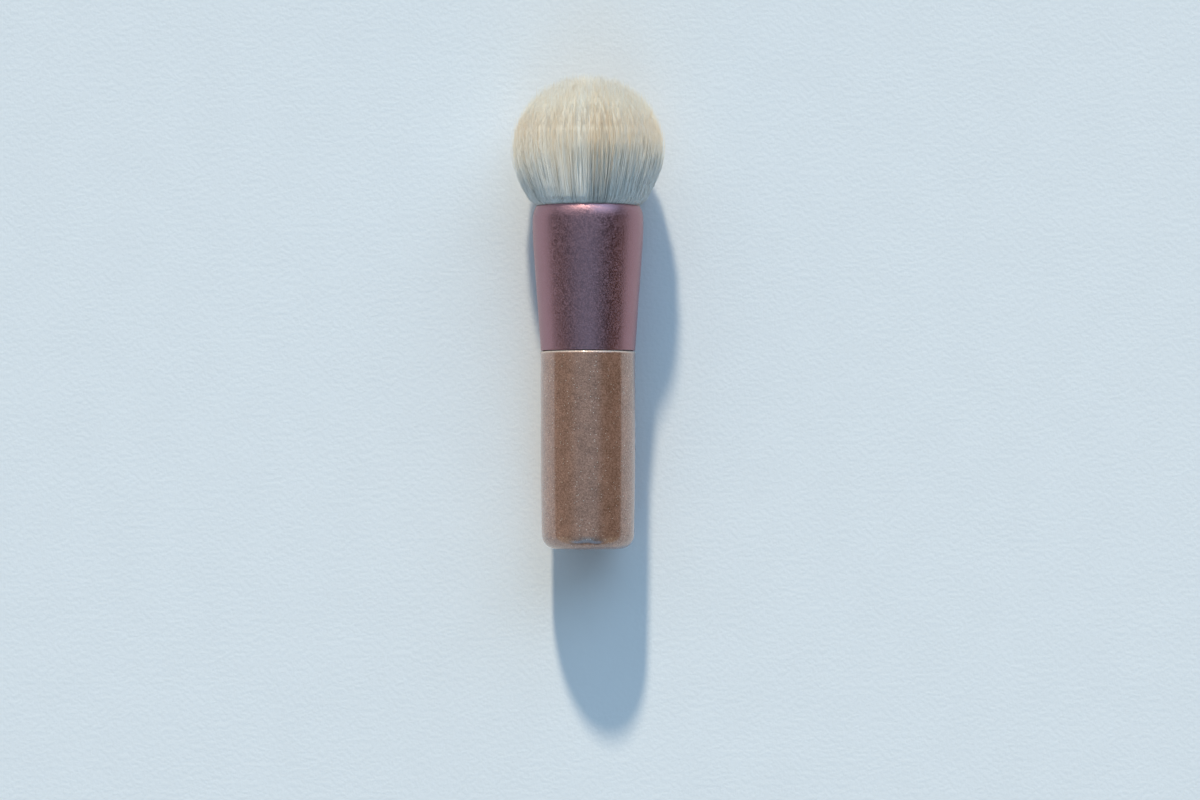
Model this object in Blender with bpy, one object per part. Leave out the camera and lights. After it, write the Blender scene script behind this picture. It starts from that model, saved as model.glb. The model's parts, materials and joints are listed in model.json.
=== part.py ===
"""A short foundation brush, lying on its side as it is put down on a table.

Metres, +Z up. The table is the plane z = 0, and +Y runs from the butt of the handle
to the crown of the hair. Each piece is drawn along the brush's own axis, where a
place is a distance from the flat butt. An empty lays that axis down: it tips the
brush until the rounded edge of the butt and the ferrule both touch the table. The
hair swells wider than the ferrule, so it is pressed flat where it meets the table.
"""

import math

import bmesh
import bpy
import numpy as np
from mathutils import Vector
from mathutils.geometry import delaunay_2d_cdt

MM = 0.001
QUARTER_TURN = math.pi / 2
HALF_TURN = math.pi
FULL_TURN = 2 * math.pi

# Fits
FIT = 0.3 * MM  # clearance between two neighbouring pieces

# Handle: turned wood under lacquer
HANDLE_LENGTH = 39.6 * MM  # butt face to shoulder
HANDLE_RADIUS = 9.5 * MM
BUTT_DRAW = 0.22 * MM  # how much slimmer the handle is at its butt
BUTT_DRAW_LENGTH = 24.0 * MM
BUTT_FILLET = 3.0 * MM
SHOULDER_ROUND = 0.35 * MM
TENON_LENGTH = 12.0 * MM
TENON_CHAMFER = 0.6 * MM

# Ferrule: drawn aluminium tube that flares towards the hair
FERRULE_LENGTH = 28.8 * MM
FERRULE_WALL = 0.5 * MM
SHOULDER_STEP = 0.06 * MM  # how far the handle stands proud of the ferrule's base
FLARE = 1.64 * MM  # how much wider its widest ring is than its base
FLARE_EASE_RADIUS = 77.0 * MM  # arc that rounds the straight flare off to the widest ring
LIP_DRAW_RADIUS = 10.3 * MM  # arc that draws the lip in again
LIP_DRAW_LENGTH = 3.05 * MM  # widest ring to the middle of the rounded lip

# Adhesive: a ring round the tenon and a plug under the hair
GLUE_EDGE = 0.2 * MM  # thickness of the glue ring at its thin lower edge
PLUG_LENGTH = 3.8 * MM

# Thread that binds the root of the hair
THREAD_DIAMETER = 0.8 * MM
THREAD_GAP = 0.5 * MM  # between one turn and the next
THREAD_TURNS = 3
THREAD_MARGIN = 0.5 * MM  # from an end turn to the end of the bound waist

# Hair
HAIR_LENGTH = 25.1 * MM  # lip to crown
HAIR_WIDEST_RADIUS = 14.65 * MM
HAIR_WIDEST_HEIGHT = 11.1 * MM  # above the lip
HAIR_REVEAL = 0.2 * MM  # how far below the lip the packed root ends
ROOT_SLOPE_LENGTH = 0.5 * MM  # from the bound waist out to the packed root
STRAND_TAPER = 3.0 * MM
CROWN_EXPONENT = 2.15  # 2 is an ellipse, and more is squarer

# Press of the hair on the table
PRESS_SOFTNESS = 0.7 * MM  # how gently the press begins
PRESS_FADE = 3.0 * MM  # length beyond the lip over which the press comes in

# Counts and shares of the hair's layout
SLICE_COUNT = 6
RING_COUNT = 10  # ring number n holds n strands in each slice
FIRST_CURVED_RING = 8  # from here out, a strand has one level more
STRAND_SIDES = 3
STRAND_ROOT_SHARE = 0.033  # circle round a strand's corners, of the flow's radius
STRAND_WIDE_SHARE = 0.05
CORE_SHARE = 0.02  # of the flow's radius: room that the rings leave round the axis
RING_STEP_SHARE = (1 - STRAND_WIDE_SHARE - CORE_SHARE) / RING_COUNT
CURVED_LEVEL_SHARES = (0.37, 0.8)  # of the way from root to widest ring
STRAIGHT_LEVEL_SHARES = (0.8,)
CROWN_DRAW_SHARE = 0.06  # how much the flow narrows again between widest ring and crown
PRESS_ABOVE_SHARE = 0.4  # of the radius: how far above the axis the press is felt

# Facets
TURNED_SIDES = 48
FILLET_STEPS = 6
TAPER_STEPS = 4
SHOULDER_STEPS = 3
EASE_STEPS = 4
LIP_DRAW_STEPS = 3
LIP_ROUND_STEPS = 4
SLICE_ARC_STEPS = 5
THREAD_LOOP_POINTS = 24
HALVINGS = 40
MERGE = 0.0001 * MM
INSIDE_OF_EDGES = 1  # asks the triangulation for the triangles inside the given edges
SMOOTH_BELOW = math.radians(30)

# Sizes worked out from those above
BUTT_RADIUS = HANDLE_RADIUS - BUTT_DRAW
BUTT_FLAT_RADIUS = BUTT_RADIUS - BUTT_FILLET
FERRULE_BASE_PLACE = HANDLE_LENGTH + FIT
FERRULE_BASE_RADIUS = HANDLE_RADIUS - SHOULDER_STEP
WIDEST_RADIUS = FERRULE_BASE_RADIUS + FLARE
LIP_ROUND = FERRULE_WALL / 2
LIP_PLACE = FERRULE_BASE_PLACE + FERRULE_LENGTH
WIDEST_PLACE = LIP_PLACE - LIP_ROUND - LIP_DRAW_LENGTH
TENON_RADIUS = FERRULE_BASE_RADIUS - FERRULE_WALL - FIT
TENON_END_PLACE = HANDLE_LENGTH + TENON_LENGTH
PLUG_PLACE = TENON_END_PLACE + FIT
ROOT_PLACE = PLUG_PLACE + PLUG_LENGTH + FIT
ROOT_TOP_PLACE = LIP_PLACE - HAIR_REVEAL
HAIR_WIDEST_PLACE = LIP_PLACE + HAIR_WIDEST_HEIGHT
CROWN_PLACE = LIP_PLACE + HAIR_LENGTH
THREAD_PITCH = THREAD_DIAMETER + THREAD_GAP
WAIST_LENGTH = THREAD_TURNS * THREAD_PITCH + THREAD_DIAMETER + 2 * THREAD_MARGIN


def tangent_angle(run, rise, offset):
    """The angle of a line that passes a centre at the given offset.

    The centre lies run along and rise up from a point of the line, and the angle t
    solves run * sin(t) - rise * cos(t) = offset.
    """
    return math.atan2(rise, run) + math.asin(offset / math.hypot(run, rise))


# The flare leaves the base as a straight cone that is tangent to its easing arc
FLARE_ANGLE = tangent_angle(
    WIDEST_PLACE - FERRULE_BASE_PLACE,
    FLARE - FLARE_EASE_RADIUS,
    FLARE_EASE_RADIUS,
)
LIP_ANGLE = math.asin(LIP_DRAW_LENGTH / LIP_DRAW_RADIUS)

# The brush lies on the butt's fillet and on the easing arc of the ferrule
LEAN = tangent_angle(
    WIDEST_PLACE - BUTT_FILLET,
    (WIDEST_RADIUS - FLARE_EASE_RADIUS) - BUTT_FLAT_RADIUS,
    FLARE_EASE_RADIUS - BUTT_FILLET,
)
AXIS_LIFT = BUTT_FILLET + BUTT_FLAT_RADIUS * math.cos(LEAN) - BUTT_FILLET * math.sin(LEAN)
AXIS_SHIFT = (BUTT_FLAT_RADIUS * math.sin(LEAN) - CROWN_PLACE * math.cos(LEAN)) / 2


def arc(centre, radius, start, stop, steps):
    """Points (place, radius) along an arc, with angles counted from the +place direction."""
    return [
        (centre[0] + radius * math.cos(angle), centre[1] + radius * math.sin(angle))
        for angle in np.linspace(start, stop, steps + 1)
    ]


def material(name, colour, roughness, metallic=0.0, coat=0.0):
    """A Principled material in one plain colour."""
    made = bpy.data.materials.new(name)
    made.use_nodes = True
    shader = made.node_tree.nodes["Principled BSDF"]
    shader.inputs["Base Color"].default_value = (*colour, 1.0)
    shader.inputs["Roughness"].default_value = roughness
    shader.inputs["Metallic"].default_value = metallic
    shader.inputs["Coat Weight"].default_value = coat
    made.diffuse_color = (*colour, 1.0)
    return made


def placed(name, data, parent, finish):
    """An object for the data, carried by the brush's axis and wearing the finish."""
    made = bpy.data.objects.new(name, data)
    bpy.context.scene.collection.objects.link(made)
    made.parent = parent
    data.materials.append(finish)
    return made


def mesh_of(name, shape):
    """The mesh of a bmesh whose faces are turned outwards and whose round parts are smooth."""
    bmesh.ops.recalc_face_normals(shape, faces=shape.faces)
    mesh = bpy.data.meshes.new(name)
    shape.to_mesh(mesh)
    shape.free()
    mesh.shade_smooth()
    mesh.set_sharp_from_angle(angle=SMOOTH_BELOW)
    return mesh


def turned(name, outline, is_ring, parent, finish):
    """A piece turned about the axis from an outline of (place, radius) points.

    The outline of a ring is closed. Any other one starts and ends on the axis.
    """
    shape = bmesh.new()
    points = [shape.verts.new((radius, place, 0)) for place, radius in outline]
    following = points[1:] + points[:1] if is_ring else points[1:]
    edges = [shape.edges.new(pair) for pair in zip(points, following)]
    bmesh.ops.spin(
        shape,
        geom=points + edges,
        cent=(0, 0, 0),
        axis=(0, 1, 0),
        dvec=(0, 0, 0),
        angle=FULL_TURN,
        steps=TURNED_SIDES,
        use_merge=True,
        use_duplicate=False,
    )
    bmesh.ops.remove_doubles(shape, verts=shape.verts, dist=MERGE)
    return placed(name, mesh_of(name, shape), parent, finish)


def add_tube_faces(shape, loops):
    """Side faces between each loop of vertices and the next, which has as many."""
    for lower, upper in zip(loops, loops[1:]):
        for side in range(len(lower)):
            after = (side + 1) % len(lower)
            shape.faces.new((lower[side], lower[after], upper[after], upper[side]))


def handle(parent, finish):
    """The handle: butt, slightly drawn-in grip, rounded shoulder and tenon in one piece."""
    taper = [
        (
            BUTT_FILLET + share * (BUTT_DRAW_LENGTH - BUTT_FILLET),
            HANDLE_RADIUS - BUTT_DRAW * (1 - share) ** 2,
        )
        for share in np.linspace(0, 1, TAPER_STEPS + 1)[1:]
    ]
    outline = [
        (0, 0),
        *arc((BUTT_FILLET, BUTT_FLAT_RADIUS), BUTT_FILLET, HALF_TURN, QUARTER_TURN, FILLET_STEPS),
        *taper,
        *arc(
            (HANDLE_LENGTH - SHOULDER_ROUND, HANDLE_RADIUS - SHOULDER_ROUND),
            SHOULDER_ROUND,
            QUARTER_TURN,
            0,
            SHOULDER_STEPS,
        ),
        (HANDLE_LENGTH, TENON_RADIUS),
        (TENON_END_PLACE - TENON_CHAMFER, TENON_RADIUS),
        (TENON_END_PLACE, TENON_RADIUS - TENON_CHAMFER),
        (TENON_END_PLACE, 0),
    ]
    return turned("handle", outline, False, parent, finish)


def ferrule_wall(inset):
    """Points of the ferrule's wall from base to lip, this far inside its outer face."""
    ease_centre = (WIDEST_PLACE, WIDEST_RADIUS - FLARE_EASE_RADIUS)
    lip_centre = (WIDEST_PLACE, WIDEST_RADIUS - LIP_DRAW_RADIUS)
    return [
        (FERRULE_BASE_PLACE, FERRULE_BASE_RADIUS - inset / math.cos(FLARE_ANGLE)),
        *arc(
            ease_centre,
            FLARE_EASE_RADIUS - inset,
            QUARTER_TURN + FLARE_ANGLE,
            QUARTER_TURN,
            EASE_STEPS,
        ),
        *arc(
            lip_centre,
            LIP_DRAW_RADIUS - inset,
            QUARTER_TURN,
            QUARTER_TURN - LIP_ANGLE,
            LIP_DRAW_STEPS,
        )[1:],
    ]


def ferrule_bore_radius(place):
    """Radius of the ferrule's bore at a place on its straight flare."""
    base = FERRULE_BASE_RADIUS - FERRULE_WALL / math.cos(FLARE_ANGLE)
    return base + (place - FERRULE_BASE_PLACE) * math.tan(FLARE_ANGLE)


LIP_BORE_RADIUS = ferrule_wall(FERRULE_WALL)[-1][1]
ROOT_RADIUS = min(LIP_BORE_RADIUS, ferrule_bore_radius(ROOT_PLACE)) - FIT
WAIST_RADIUS = ferrule_bore_radius(ROOT_PLACE) - FIT - THREAD_DIAMETER - FIT
FLOW_ROOT_RADIUS = ROOT_RADIUS * (1 - STRAND_ROOT_SHARE)


def ferrule(parent, finish):
    """The ferrule: a thin flared tube with a rounded, slightly drawn-in lip."""
    outer = ferrule_wall(0)
    inner = ferrule_wall(FERRULE_WALL)
    middle = ((outer[-1][0] + inner[-1][0]) / 2, (outer[-1][1] + inner[-1][1]) / 2)
    lip_start = QUARTER_TURN - LIP_ANGLE
    lip = arc(middle, LIP_ROUND, lip_start, lip_start - HALF_TURN, LIP_ROUND_STEPS)
    outline = [*outer, *lip[1:-1], *reversed(inner)]
    return turned("ferrule", outline, True, parent, finish)


def glue_ring(parent, finish):
    """Adhesive in the wedge between the straight tenon and the flaring bore."""
    bottom = FERRULE_BASE_PLACE + (FIT + GLUE_EDGE) / math.tan(FLARE_ANGLE)
    top = TENON_END_PLACE - TENON_CHAMFER
    outline = [
        (bottom, TENON_RADIUS + FIT),
        (bottom, ferrule_bore_radius(bottom) - FIT),
        (top, ferrule_bore_radius(top) - FIT),
        (top, TENON_RADIUS + FIT),
    ]
    return turned("handle_glue_ring", outline, True, parent, finish)


def root_plug(parent, finish):
    """Adhesive poured between the tenon's end and the root of the hair."""
    outline = [
        (PLUG_PLACE, 0),
        (PLUG_PLACE, ferrule_bore_radius(PLUG_PLACE) - FIT),
        (PLUG_PLACE + PLUG_LENGTH, ferrule_bore_radius(PLUG_PLACE + PLUG_LENGTH) - FIT),
        (PLUG_PLACE + PLUG_LENGTH, 0),
    ]
    return turned("root_glue_plug", outline, False, parent, finish)


def thread_points():
    """Middle line of the binding thread: a helix whose two ends run straight for a diameter."""
    count = THREAD_TURNS * THREAD_LOOP_POINTS + 1
    angle = np.linspace(0, THREAD_TURNS * FULL_TURN, count)
    radius = WAIST_RADIUS + FIT + THREAD_DIAMETER / 2
    start = ROOT_PLACE + THREAD_MARGIN + THREAD_DIAMETER / 2
    place = start + THREAD_PITCH * angle / FULL_TURN
    helix = np.stack([radius * np.cos(angle), place, radius * np.sin(angle)], axis=1)
    first_way = np.array([0, 0, -THREAD_DIAMETER])
    last_way = np.array([0, 0, THREAD_DIAMETER])
    return np.concatenate([[helix[0] + first_way], helix, [helix[-1] + last_way]])


def least_gap(points):
    """The least gap between the thread and itself, measured between points half a turn apart or more."""
    between = np.linalg.norm(points[:, None] - points[None, :], axis=2)
    index = np.arange(len(points))
    is_far = np.abs(index[:, None] - index[None, :]) >= THREAD_LOOP_POINTS // 2
    return between[is_far].min() - THREAD_DIAMETER


def root_binding(parent, finish):
    """The thread tied round the root of the hair: one unbroken tube."""
    points = thread_points()
    print(f"root_binding: least gap to itself {least_gap(points) / MM:.2f} mm")
    curve = bpy.data.curves.new("root_binding", "CURVE")
    curve.dimensions = "3D"
    curve.bevel_depth = THREAD_DIAMETER / 2
    curve.bevel_resolution = 1
    curve.use_fill_caps = True
    spline = curve.splines.new("POLY")
    spline.points.add(len(points) - 1)
    for target, point in zip(spline.points, points):
        target.co = (*point, 1.0)
    return placed("root_binding", curve, parent, finish)


def flow_radius(place):
    """Radius of the hair's outermost flow line.

    It swells as a quarter sine from the root to the widest ring, and then narrows
    a little towards the crown.
    """
    rise = (place - ROOT_TOP_PLACE) / (HAIR_WIDEST_PLACE - ROOT_TOP_PLACE)
    swell = np.sin(QUARTER_TURN * np.clip(rise, 0, 1))
    fall = np.clip((place - HAIR_WIDEST_PLACE) / (CROWN_PLACE - HAIR_WIDEST_PLACE), 0, 1)
    widest = FLOW_ROOT_RADIUS + (HAIR_WIDEST_RADIUS - FLOW_ROOT_RADIUS) * swell
    return widest * (1 - CROWN_DRAW_SHARE * fall**2)


def crown_radius(place):
    """Radius of the rounded crown above the widest ring, a slightly squared ellipse."""
    share = (place - HAIR_WIDEST_PLACE) / (CROWN_PLACE - HAIR_WIDEST_PLACE)
    return HAIR_WIDEST_RADIUS * (1 - share**CROWN_EXPONENT) ** (1 / CROWN_EXPONENT)


def ring_share(ring):
    """How far out the strands of a ring stand, as a share of the flow's radius."""
    return CORE_SHARE + ring * RING_STEP_SHARE


def tip_place(ring):
    """Where the flow lines of a ring meet the crown, found by halving."""
    low = HAIR_WIDEST_PLACE
    high = CROWN_PLACE
    for _ in range(HALVINGS):
        middle = (low + high) / 2
        if ring_share(ring) * flow_radius(middle) < crown_radius(middle):
            low = middle
        else:
            high = middle
    return low


def pressed(points):
    """The points, raised where the table presses on the hair.

    A point on the underside rises by the depth that the flow would reach below the
    table there, and one higher up by less, as a square, down to nothing a little
    above the axis. Heights keep their order, so strands stay apart.
    """
    place = points[:, 1]
    radius = flow_radius(place)
    depth = radius * math.cos(LEAN) - (AXIS_LIFT + place * math.sin(LEAN))
    lift = (depth + np.sqrt(depth**2 + PRESS_SOFTNESS**2)) / 2
    fade = np.clip((place - ROOT_TOP_PLACE) / PRESS_FADE, 0, 1)
    lift = lift * fade**2 * (3 - 2 * fade)
    below = np.clip(PRESS_ABOVE_SHARE - points[:, 2] / radius, 0, None)
    rise = lift * (below / (1 + PRESS_ABOVE_SHARE)) ** 2
    up = np.array([0, math.sin(LEAN), math.cos(LEAN)])
    return points + rise[:, None] * up


def strand_levels(ring):
    """(place, half-width share) of each level of a strand in this ring, and its tip's place."""
    tip = tip_place(ring)
    shares = CURVED_LEVEL_SHARES if ring >= FIRST_CURVED_RING else STRAIGHT_LEVEL_SHARES
    levels = [(ROOT_TOP_PLACE, STRAND_ROOT_SHARE)]
    for share in shares:
        place = ROOT_TOP_PLACE + share * (HAIR_WIDEST_PLACE - ROOT_TOP_PLACE)
        width = STRAND_ROOT_SHARE + share * (STRAND_WIDE_SHARE - STRAND_ROOT_SHARE)
        levels.append((place, width))
    levels.append((tip - STRAND_TAPER, STRAND_WIDE_SHARE))
    return levels, tip


def add_strand(shape, ring, angle):
    """One strand: a three-sided prism along its flow line, with one corner outwards.

    It is left open at its foot, whose loop of vertices is returned.
    """
    levels, tip = strand_levels(ring)
    outwards = np.array([math.cos(angle), 0, math.sin(angle)])
    corners = angle + FULL_TURN * np.arange(STRAND_SIDES) / STRAND_SIDES
    corner_ways = np.stack([np.cos(corners), np.zeros(STRAND_SIDES), np.sin(corners)], axis=1)
    loops = []
    for place, width in levels:
        radius = flow_radius(place)
        middle = outwards * ring_share(ring) * radius + np.array([0, place, 0])
        ring_points = pressed(middle + corner_ways * width * radius)
        loops.append([shape.verts.new(point) for point in ring_points])
    end = outwards * ring_share(ring) * flow_radius(tip) + np.array([0, tip, 0])
    point = shape.verts.new(pressed(end[None, :])[0])
    add_tube_faces(shape, loops)
    for side in range(STRAND_SIDES):
        shape.faces.new((loops[-1][side], loops[-1][(side + 1) % STRAND_SIDES], point))
    return loops[0]


def add_root_slice(shape, middle_angle):
    """The slice of the packed hair root: a wedge of the round root with a bound waist.

    It is left open at its top, whose loop of vertices is returned.
    """
    half_gap = FIT / 2
    half_angle = HALF_TURN / SLICE_COUNT
    apex = half_gap / math.sin(half_angle)
    waist_end = ROOT_PLACE + WAIST_LENGTH
    outline = [
        (ROOT_PLACE, WAIST_RADIUS),
        (waist_end, WAIST_RADIUS),
        (waist_end + ROOT_SLOPE_LENGTH, ROOT_RADIUS),
        (ROOT_TOP_PLACE, ROOT_RADIUS),
    ]
    loops = []
    for place, radius in outline:
        reach = half_angle - math.asin(half_gap / radius)
        angles = np.linspace(middle_angle - reach, middle_angle + reach, SLICE_ARC_STEPS + 1)
        corners = [(apex * math.cos(middle_angle), place, apex * math.sin(middle_angle))]
        corners += [(radius * math.cos(a), place, radius * math.sin(a)) for a in angles]
        loops.append([shape.verts.new(corner) for corner in corners])
    add_tube_faces(shape, loops)
    shape.faces.new(loops[0])
    return loops[-1]


def fill_between(shape, loops):
    """Fills the flat face that the first loop of vertices bounds, around the other loops."""
    corners = [corner for loop in loops for corner in loop]
    owners = [number for number, loop in enumerate(loops) for _ in loop]
    index_of = {corner: index for index, corner in enumerate(corners)}
    edges = [
        (index_of[corner], index_of[after])
        for loop in loops
        for corner, after in zip(loop, loop[1:] + loop[:1])
    ]
    flat = [Vector((corner.co.x, corner.co.z)) for corner in corners]
    filled = delaunay_2d_cdt(flat, edges, [], INSIDE_OF_EDGES, MERGE)
    triangles, sources = filled[2], filled[3]
    for triangle in triangles:
        indices = [sources[corner][0] for corner in triangle]
        found = {owners[index] for index in indices}
        if found == {0} or len(found) > 1:
            shape.faces.new([corners[index] for index in indices])


def hair_slice(number, parent, finish):
    """One slice of the hair: its share of the packed root, with its strands fused to it."""
    slice_angle = FULL_TURN / SLICE_COUNT
    middle_angle = number * slice_angle - QUARTER_TURN
    shape = bmesh.new()
    loops = [add_root_slice(shape, middle_angle)]
    for ring in range(1, RING_COUNT + 1):
        for index in range(ring):
            share = (index + 1 / 2) / ring - 1 / 2
            loops.append(add_strand(shape, ring, middle_angle + share * slice_angle))
    fill_between(shape, loops)
    name = f"hair_slice_{number + 1}"
    return placed(name, mesh_of(name, shape), parent, finish)


def brush_axis():
    """The empty that lays the brush down, with its place 0 at the butt's face."""
    made = bpy.data.objects.new("brush_axis", None)
    bpy.context.scene.collection.objects.link(made)
    made.location = (0, AXIS_SHIFT, AXIS_LIFT)
    made.rotation_euler = (LEAN, 0, 0)
    return made


def clear_scene():
    """Removes whatever the scene starts with."""
    for thing in list(bpy.data.objects):
        bpy.data.objects.remove(thing, do_unlink=True)


def main():
    """Builds the brush, from the handle to the hair."""
    clear_scene()
    axis = brush_axis()
    lacquer = material("handle_lacquer", (0.17, 0.115, 0.085), 0.3, metallic=0.3, coat=1.0)
    anodised = material("ferrule_anodised", (0.17, 0.11, 0.15), 0.35, metallic=1.0)
    adhesive = material("adhesive", (0.55, 0.45, 0.25), 0.3)
    thread = material("thread", (0.75, 0.72, 0.66), 0.8)
    hair = material("hair", (0.66, 0.6, 0.48), 0.6)
    handle(axis, lacquer)
    glue_ring(axis, adhesive)
    ferrule(axis, anodised)
    root_plug(axis, adhesive)
    root_binding(axis, thread)
    for number in range(SLICE_COUNT):
        hair_slice(number, axis, hair)
    print(f"lean {math.degrees(LEAN):.2f} degrees, butt face at y {AXIS_SHIFT / MM:.2f} mm")
    print(f"butt face at height {AXIS_LIFT / MM:.2f} mm")


main()
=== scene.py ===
"""A short foundation brush lying on its side on a pale table, as it is put down.

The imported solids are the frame. Each piece is drawn along the brush's own axis, where a
place is a distance from the flat butt, and is laid down with that axis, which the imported
record gives. Metres throughout, +Z up, and the table is the plane z = 0.
"""

from __future__ import annotations

import json
import logging
import math
from dataclasses import dataclass
from enum import Enum
from functools import cached_property
from typing import Any

import bpy
import numpy as np
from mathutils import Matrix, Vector


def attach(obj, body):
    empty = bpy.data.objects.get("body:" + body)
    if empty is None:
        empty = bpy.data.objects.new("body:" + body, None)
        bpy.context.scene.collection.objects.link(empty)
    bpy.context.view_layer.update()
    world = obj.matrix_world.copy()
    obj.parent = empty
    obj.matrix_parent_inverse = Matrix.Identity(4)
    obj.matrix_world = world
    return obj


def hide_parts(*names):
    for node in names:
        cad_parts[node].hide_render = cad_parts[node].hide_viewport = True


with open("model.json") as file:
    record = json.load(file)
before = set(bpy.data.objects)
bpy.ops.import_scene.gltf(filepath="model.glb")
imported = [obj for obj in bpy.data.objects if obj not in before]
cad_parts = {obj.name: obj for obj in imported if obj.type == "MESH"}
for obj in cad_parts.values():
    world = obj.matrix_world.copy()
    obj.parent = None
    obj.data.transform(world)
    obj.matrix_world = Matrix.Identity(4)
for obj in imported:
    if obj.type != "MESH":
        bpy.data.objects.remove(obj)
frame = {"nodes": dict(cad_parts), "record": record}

LOG = logging.getLogger("foundation_brush")
MM = 0.001
QUARTER_TURN = math.pi / 2
HALF_TURN = math.pi
FULL_TURN = 2 * math.pi
GOLDEN_TURN = math.pi * (3 - math.sqrt(5))  # from one strand of the layout to the next
TUBE_SIDES = 3  # of a strand
CHART = "OFBake"  # name of the UV map of each piece
BODY = "root"
SHARP = math.radians(32)  # an edge that turns more than this stays sharp

Colour = tuple[float, float, float]
Stops = tuple[tuple[float, Colour], ...]
Waves = tuple[int, int, int]  # of a Field: number of sines, least and most waves in a turn


# Meshes as whole arrays


@dataclass
class Surface:
    """One mesh, as arrays.

    points holds the vertices in the row frame. corners holds the vertex of each corner,
    face after face, counts the number of corners of each face, and chart the place of
    each corner on the UV map. normals, where it isn't None, holds the way that the
    surface seems to face at each corner.
    """

    points: np.ndarray
    corners: np.ndarray
    counts: np.ndarray
    chart: np.ndarray
    normals: np.ndarray | None = None

    def piece(
        self, name: str, finish: bpy.types.Material, slot: str, *nodes: str
    ) -> bpy.types.Object:
        """Makes the mesh an object that rides on the brush.

        Args:
            name: The object's name.
            finish: The material that all of it wears.
            slot: The record's material slot that the finish belongs to; not used.
            nodes: The CAD nodes that the piece stands for.

        Returns:
            The object, at the origin.
        """
        mesh = bpy.data.meshes.new(name)
        mesh.vertices.add(len(self.points))
        mesh.vertices.foreach_set("co", self.points.astype(np.float32).ravel())
        mesh.loops.add(len(self.corners))
        mesh.loops.foreach_set("vertex_index", self.corners.astype(np.int32))
        mesh.polygons.add(len(self.counts))
        starts = np.concatenate([[0], np.cumsum(self.counts)[:-1]])
        mesh.polygons.foreach_set("loop_start", starts.astype(np.int32))
        chart = mesh.uv_layers.new(name=CHART)
        chart.uv.foreach_set("vector", self.chart.astype(np.float32).ravel())
        mesh.update(calc_edges=True)
        mesh.shade_smooth()
        if self.normals is None:
            mesh.set_sharp_from_angle(angle=SHARP)
        else:
            mesh.normals_split_custom_set(self.normals)
        mesh.materials.append(finish)
        made = bpy.data.objects.new(name, mesh)
        bpy.context.scene.collection.objects.link(made)
        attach(made, BODY)
        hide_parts(*nodes)
        LOG.info("%s: %d faces", name, len(self.counts))
        return made


def arc(centre: Any, radius: float, start: float, stop: float, steps: int) -> np.ndarray:
    """Points (place, radius) of an arc.

    A point is the centre plus the radius times the cosine and the sine of its angle,
    which runs evenly from start to stop and is counted from the direction of the crown.

    Args:
        centre: Place and radius of the arc's centre, as a pair.
        radius: Radius of the arc.
        start: First angle.
        stop: Last angle.
        steps: Number of chords.

    Returns:
        An array of steps + 1 rows.
    """
    angle = np.linspace(start, stop, steps + 1)
    return np.array(centre) + radius * np.stack([np.cos(angle), np.sin(angle)], axis=1)


def line(first: Any, last: Any, steps: int) -> np.ndarray:
    """Points (place, radius) spaced evenly from the first to the last."""
    return np.linspace(first, last, steps + 1)


def tangent_angle(run: float, rise: float, offset: float) -> float:
    """The angle of a line that passes a centre at the given offset.

    The centre lies run along and rise up from a point of the line, and the angle t
    solves run * sin(t) - rise * cos(t) = offset.
    """
    return math.atan2(rise, run) + math.asin(offset / math.hypot(run, rise))


@dataclass(frozen=True)
class BrushAxis:
    """The brush's own axis: its middle at the flat butt, and its direction to the crown."""

    origin: np.ndarray
    along: np.ndarray

    @classmethod
    def from_record(cls, record: dict[str, Any]) -> BrushAxis:
        """The axis that the mount on the flat butt gives, turned to point to the crown."""
        mount = record["mounts"][0]
        return cls(np.array(mount["pos_m"]), -np.array(mount["axis"]))

    @property
    def lean(self) -> float:
        """How far the axis tips up towards the crown."""
        return math.atan2(self.along[2], self.along[1])

    def world(self, points: np.ndarray) -> np.ndarray:
        """Points (across, place, up) laid down with the brush, in the row frame.

        Args:
            points: An array whose last axis holds across, place and up.

        Returns:
            The origin plus across times +X, plus place times the axis, plus up times
            the direction that is square to both.
        """
        return self.origin + self.turned(points)

    def turned(self, ways: np.ndarray) -> np.ndarray:
        """Directions (across, along, up) turned with the brush, as world() does for points."""
        across = np.array([1.0, 0.0, 0.0])
        return ways @ np.stack([across, self.along, np.cross(across, self.along)])


def around(radius: Any, place: Any, angle: np.ndarray) -> np.ndarray:
    """Points (across, place, up) round the axis: radius * cos angle, place, radius * sin angle."""
    across, up = radius * np.cos(angle), radius * np.sin(angle)
    return np.stack([across, np.broadcast_to(place, across.shape), up], axis=-1)


def unit(ways: np.ndarray) -> np.ndarray:
    """The directions of vectors, which stand on the third axis of an array."""
    return ways / np.linalg.norm(ways, axis=2, keepdims=True)


def grid_quads(rows: int, sides: int, is_ring: bool = False) -> np.ndarray:
    """Faces between the rows of a grid whose columns close round the turn.

    Each face runs up its left edge and down its right one. The grid's points are
    numbered row after row.

    Args:
        rows: Number of rows.
        sides: Number of columns.
        is_ring: Whether the last row meets the first.

    Returns:
        Four corners for each face, by row and column.
    """
    row, column = np.arange(rows if is_ring else rows - 1)[:, None], np.arange(sides)
    above, after = (row + 1) % rows * sides, (column + 1) % sides
    row = row * sides
    return np.stack([row + column, above + column, above + after, row + after], axis=2)


def end_fans(rows: int, sides: int) -> np.ndarray:
    """Triangles that close a grid's first and last rows with the two points after its own."""
    column = np.arange(sides)
    after, first, top = (column + 1) % sides, rows * sides, (rows - 1) * sides
    lower = np.stack([first + 0 * column, column, after], axis=1)
    upper = np.stack([first + 1 + 0 * column, top + after, top + column], axis=1)
    return np.concatenate([lower, upper])


def listed(*groups: np.ndarray) -> tuple[np.ndarray, np.ndarray]:
    """The corners of groups of faces in one row, and the number of corners of each face."""
    counts = [np.full(group.size // group.shape[-1], group.shape[-1]) for group in groups]
    return np.concatenate([group.ravel() for group in groups]), np.concatenate(counts)


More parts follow.
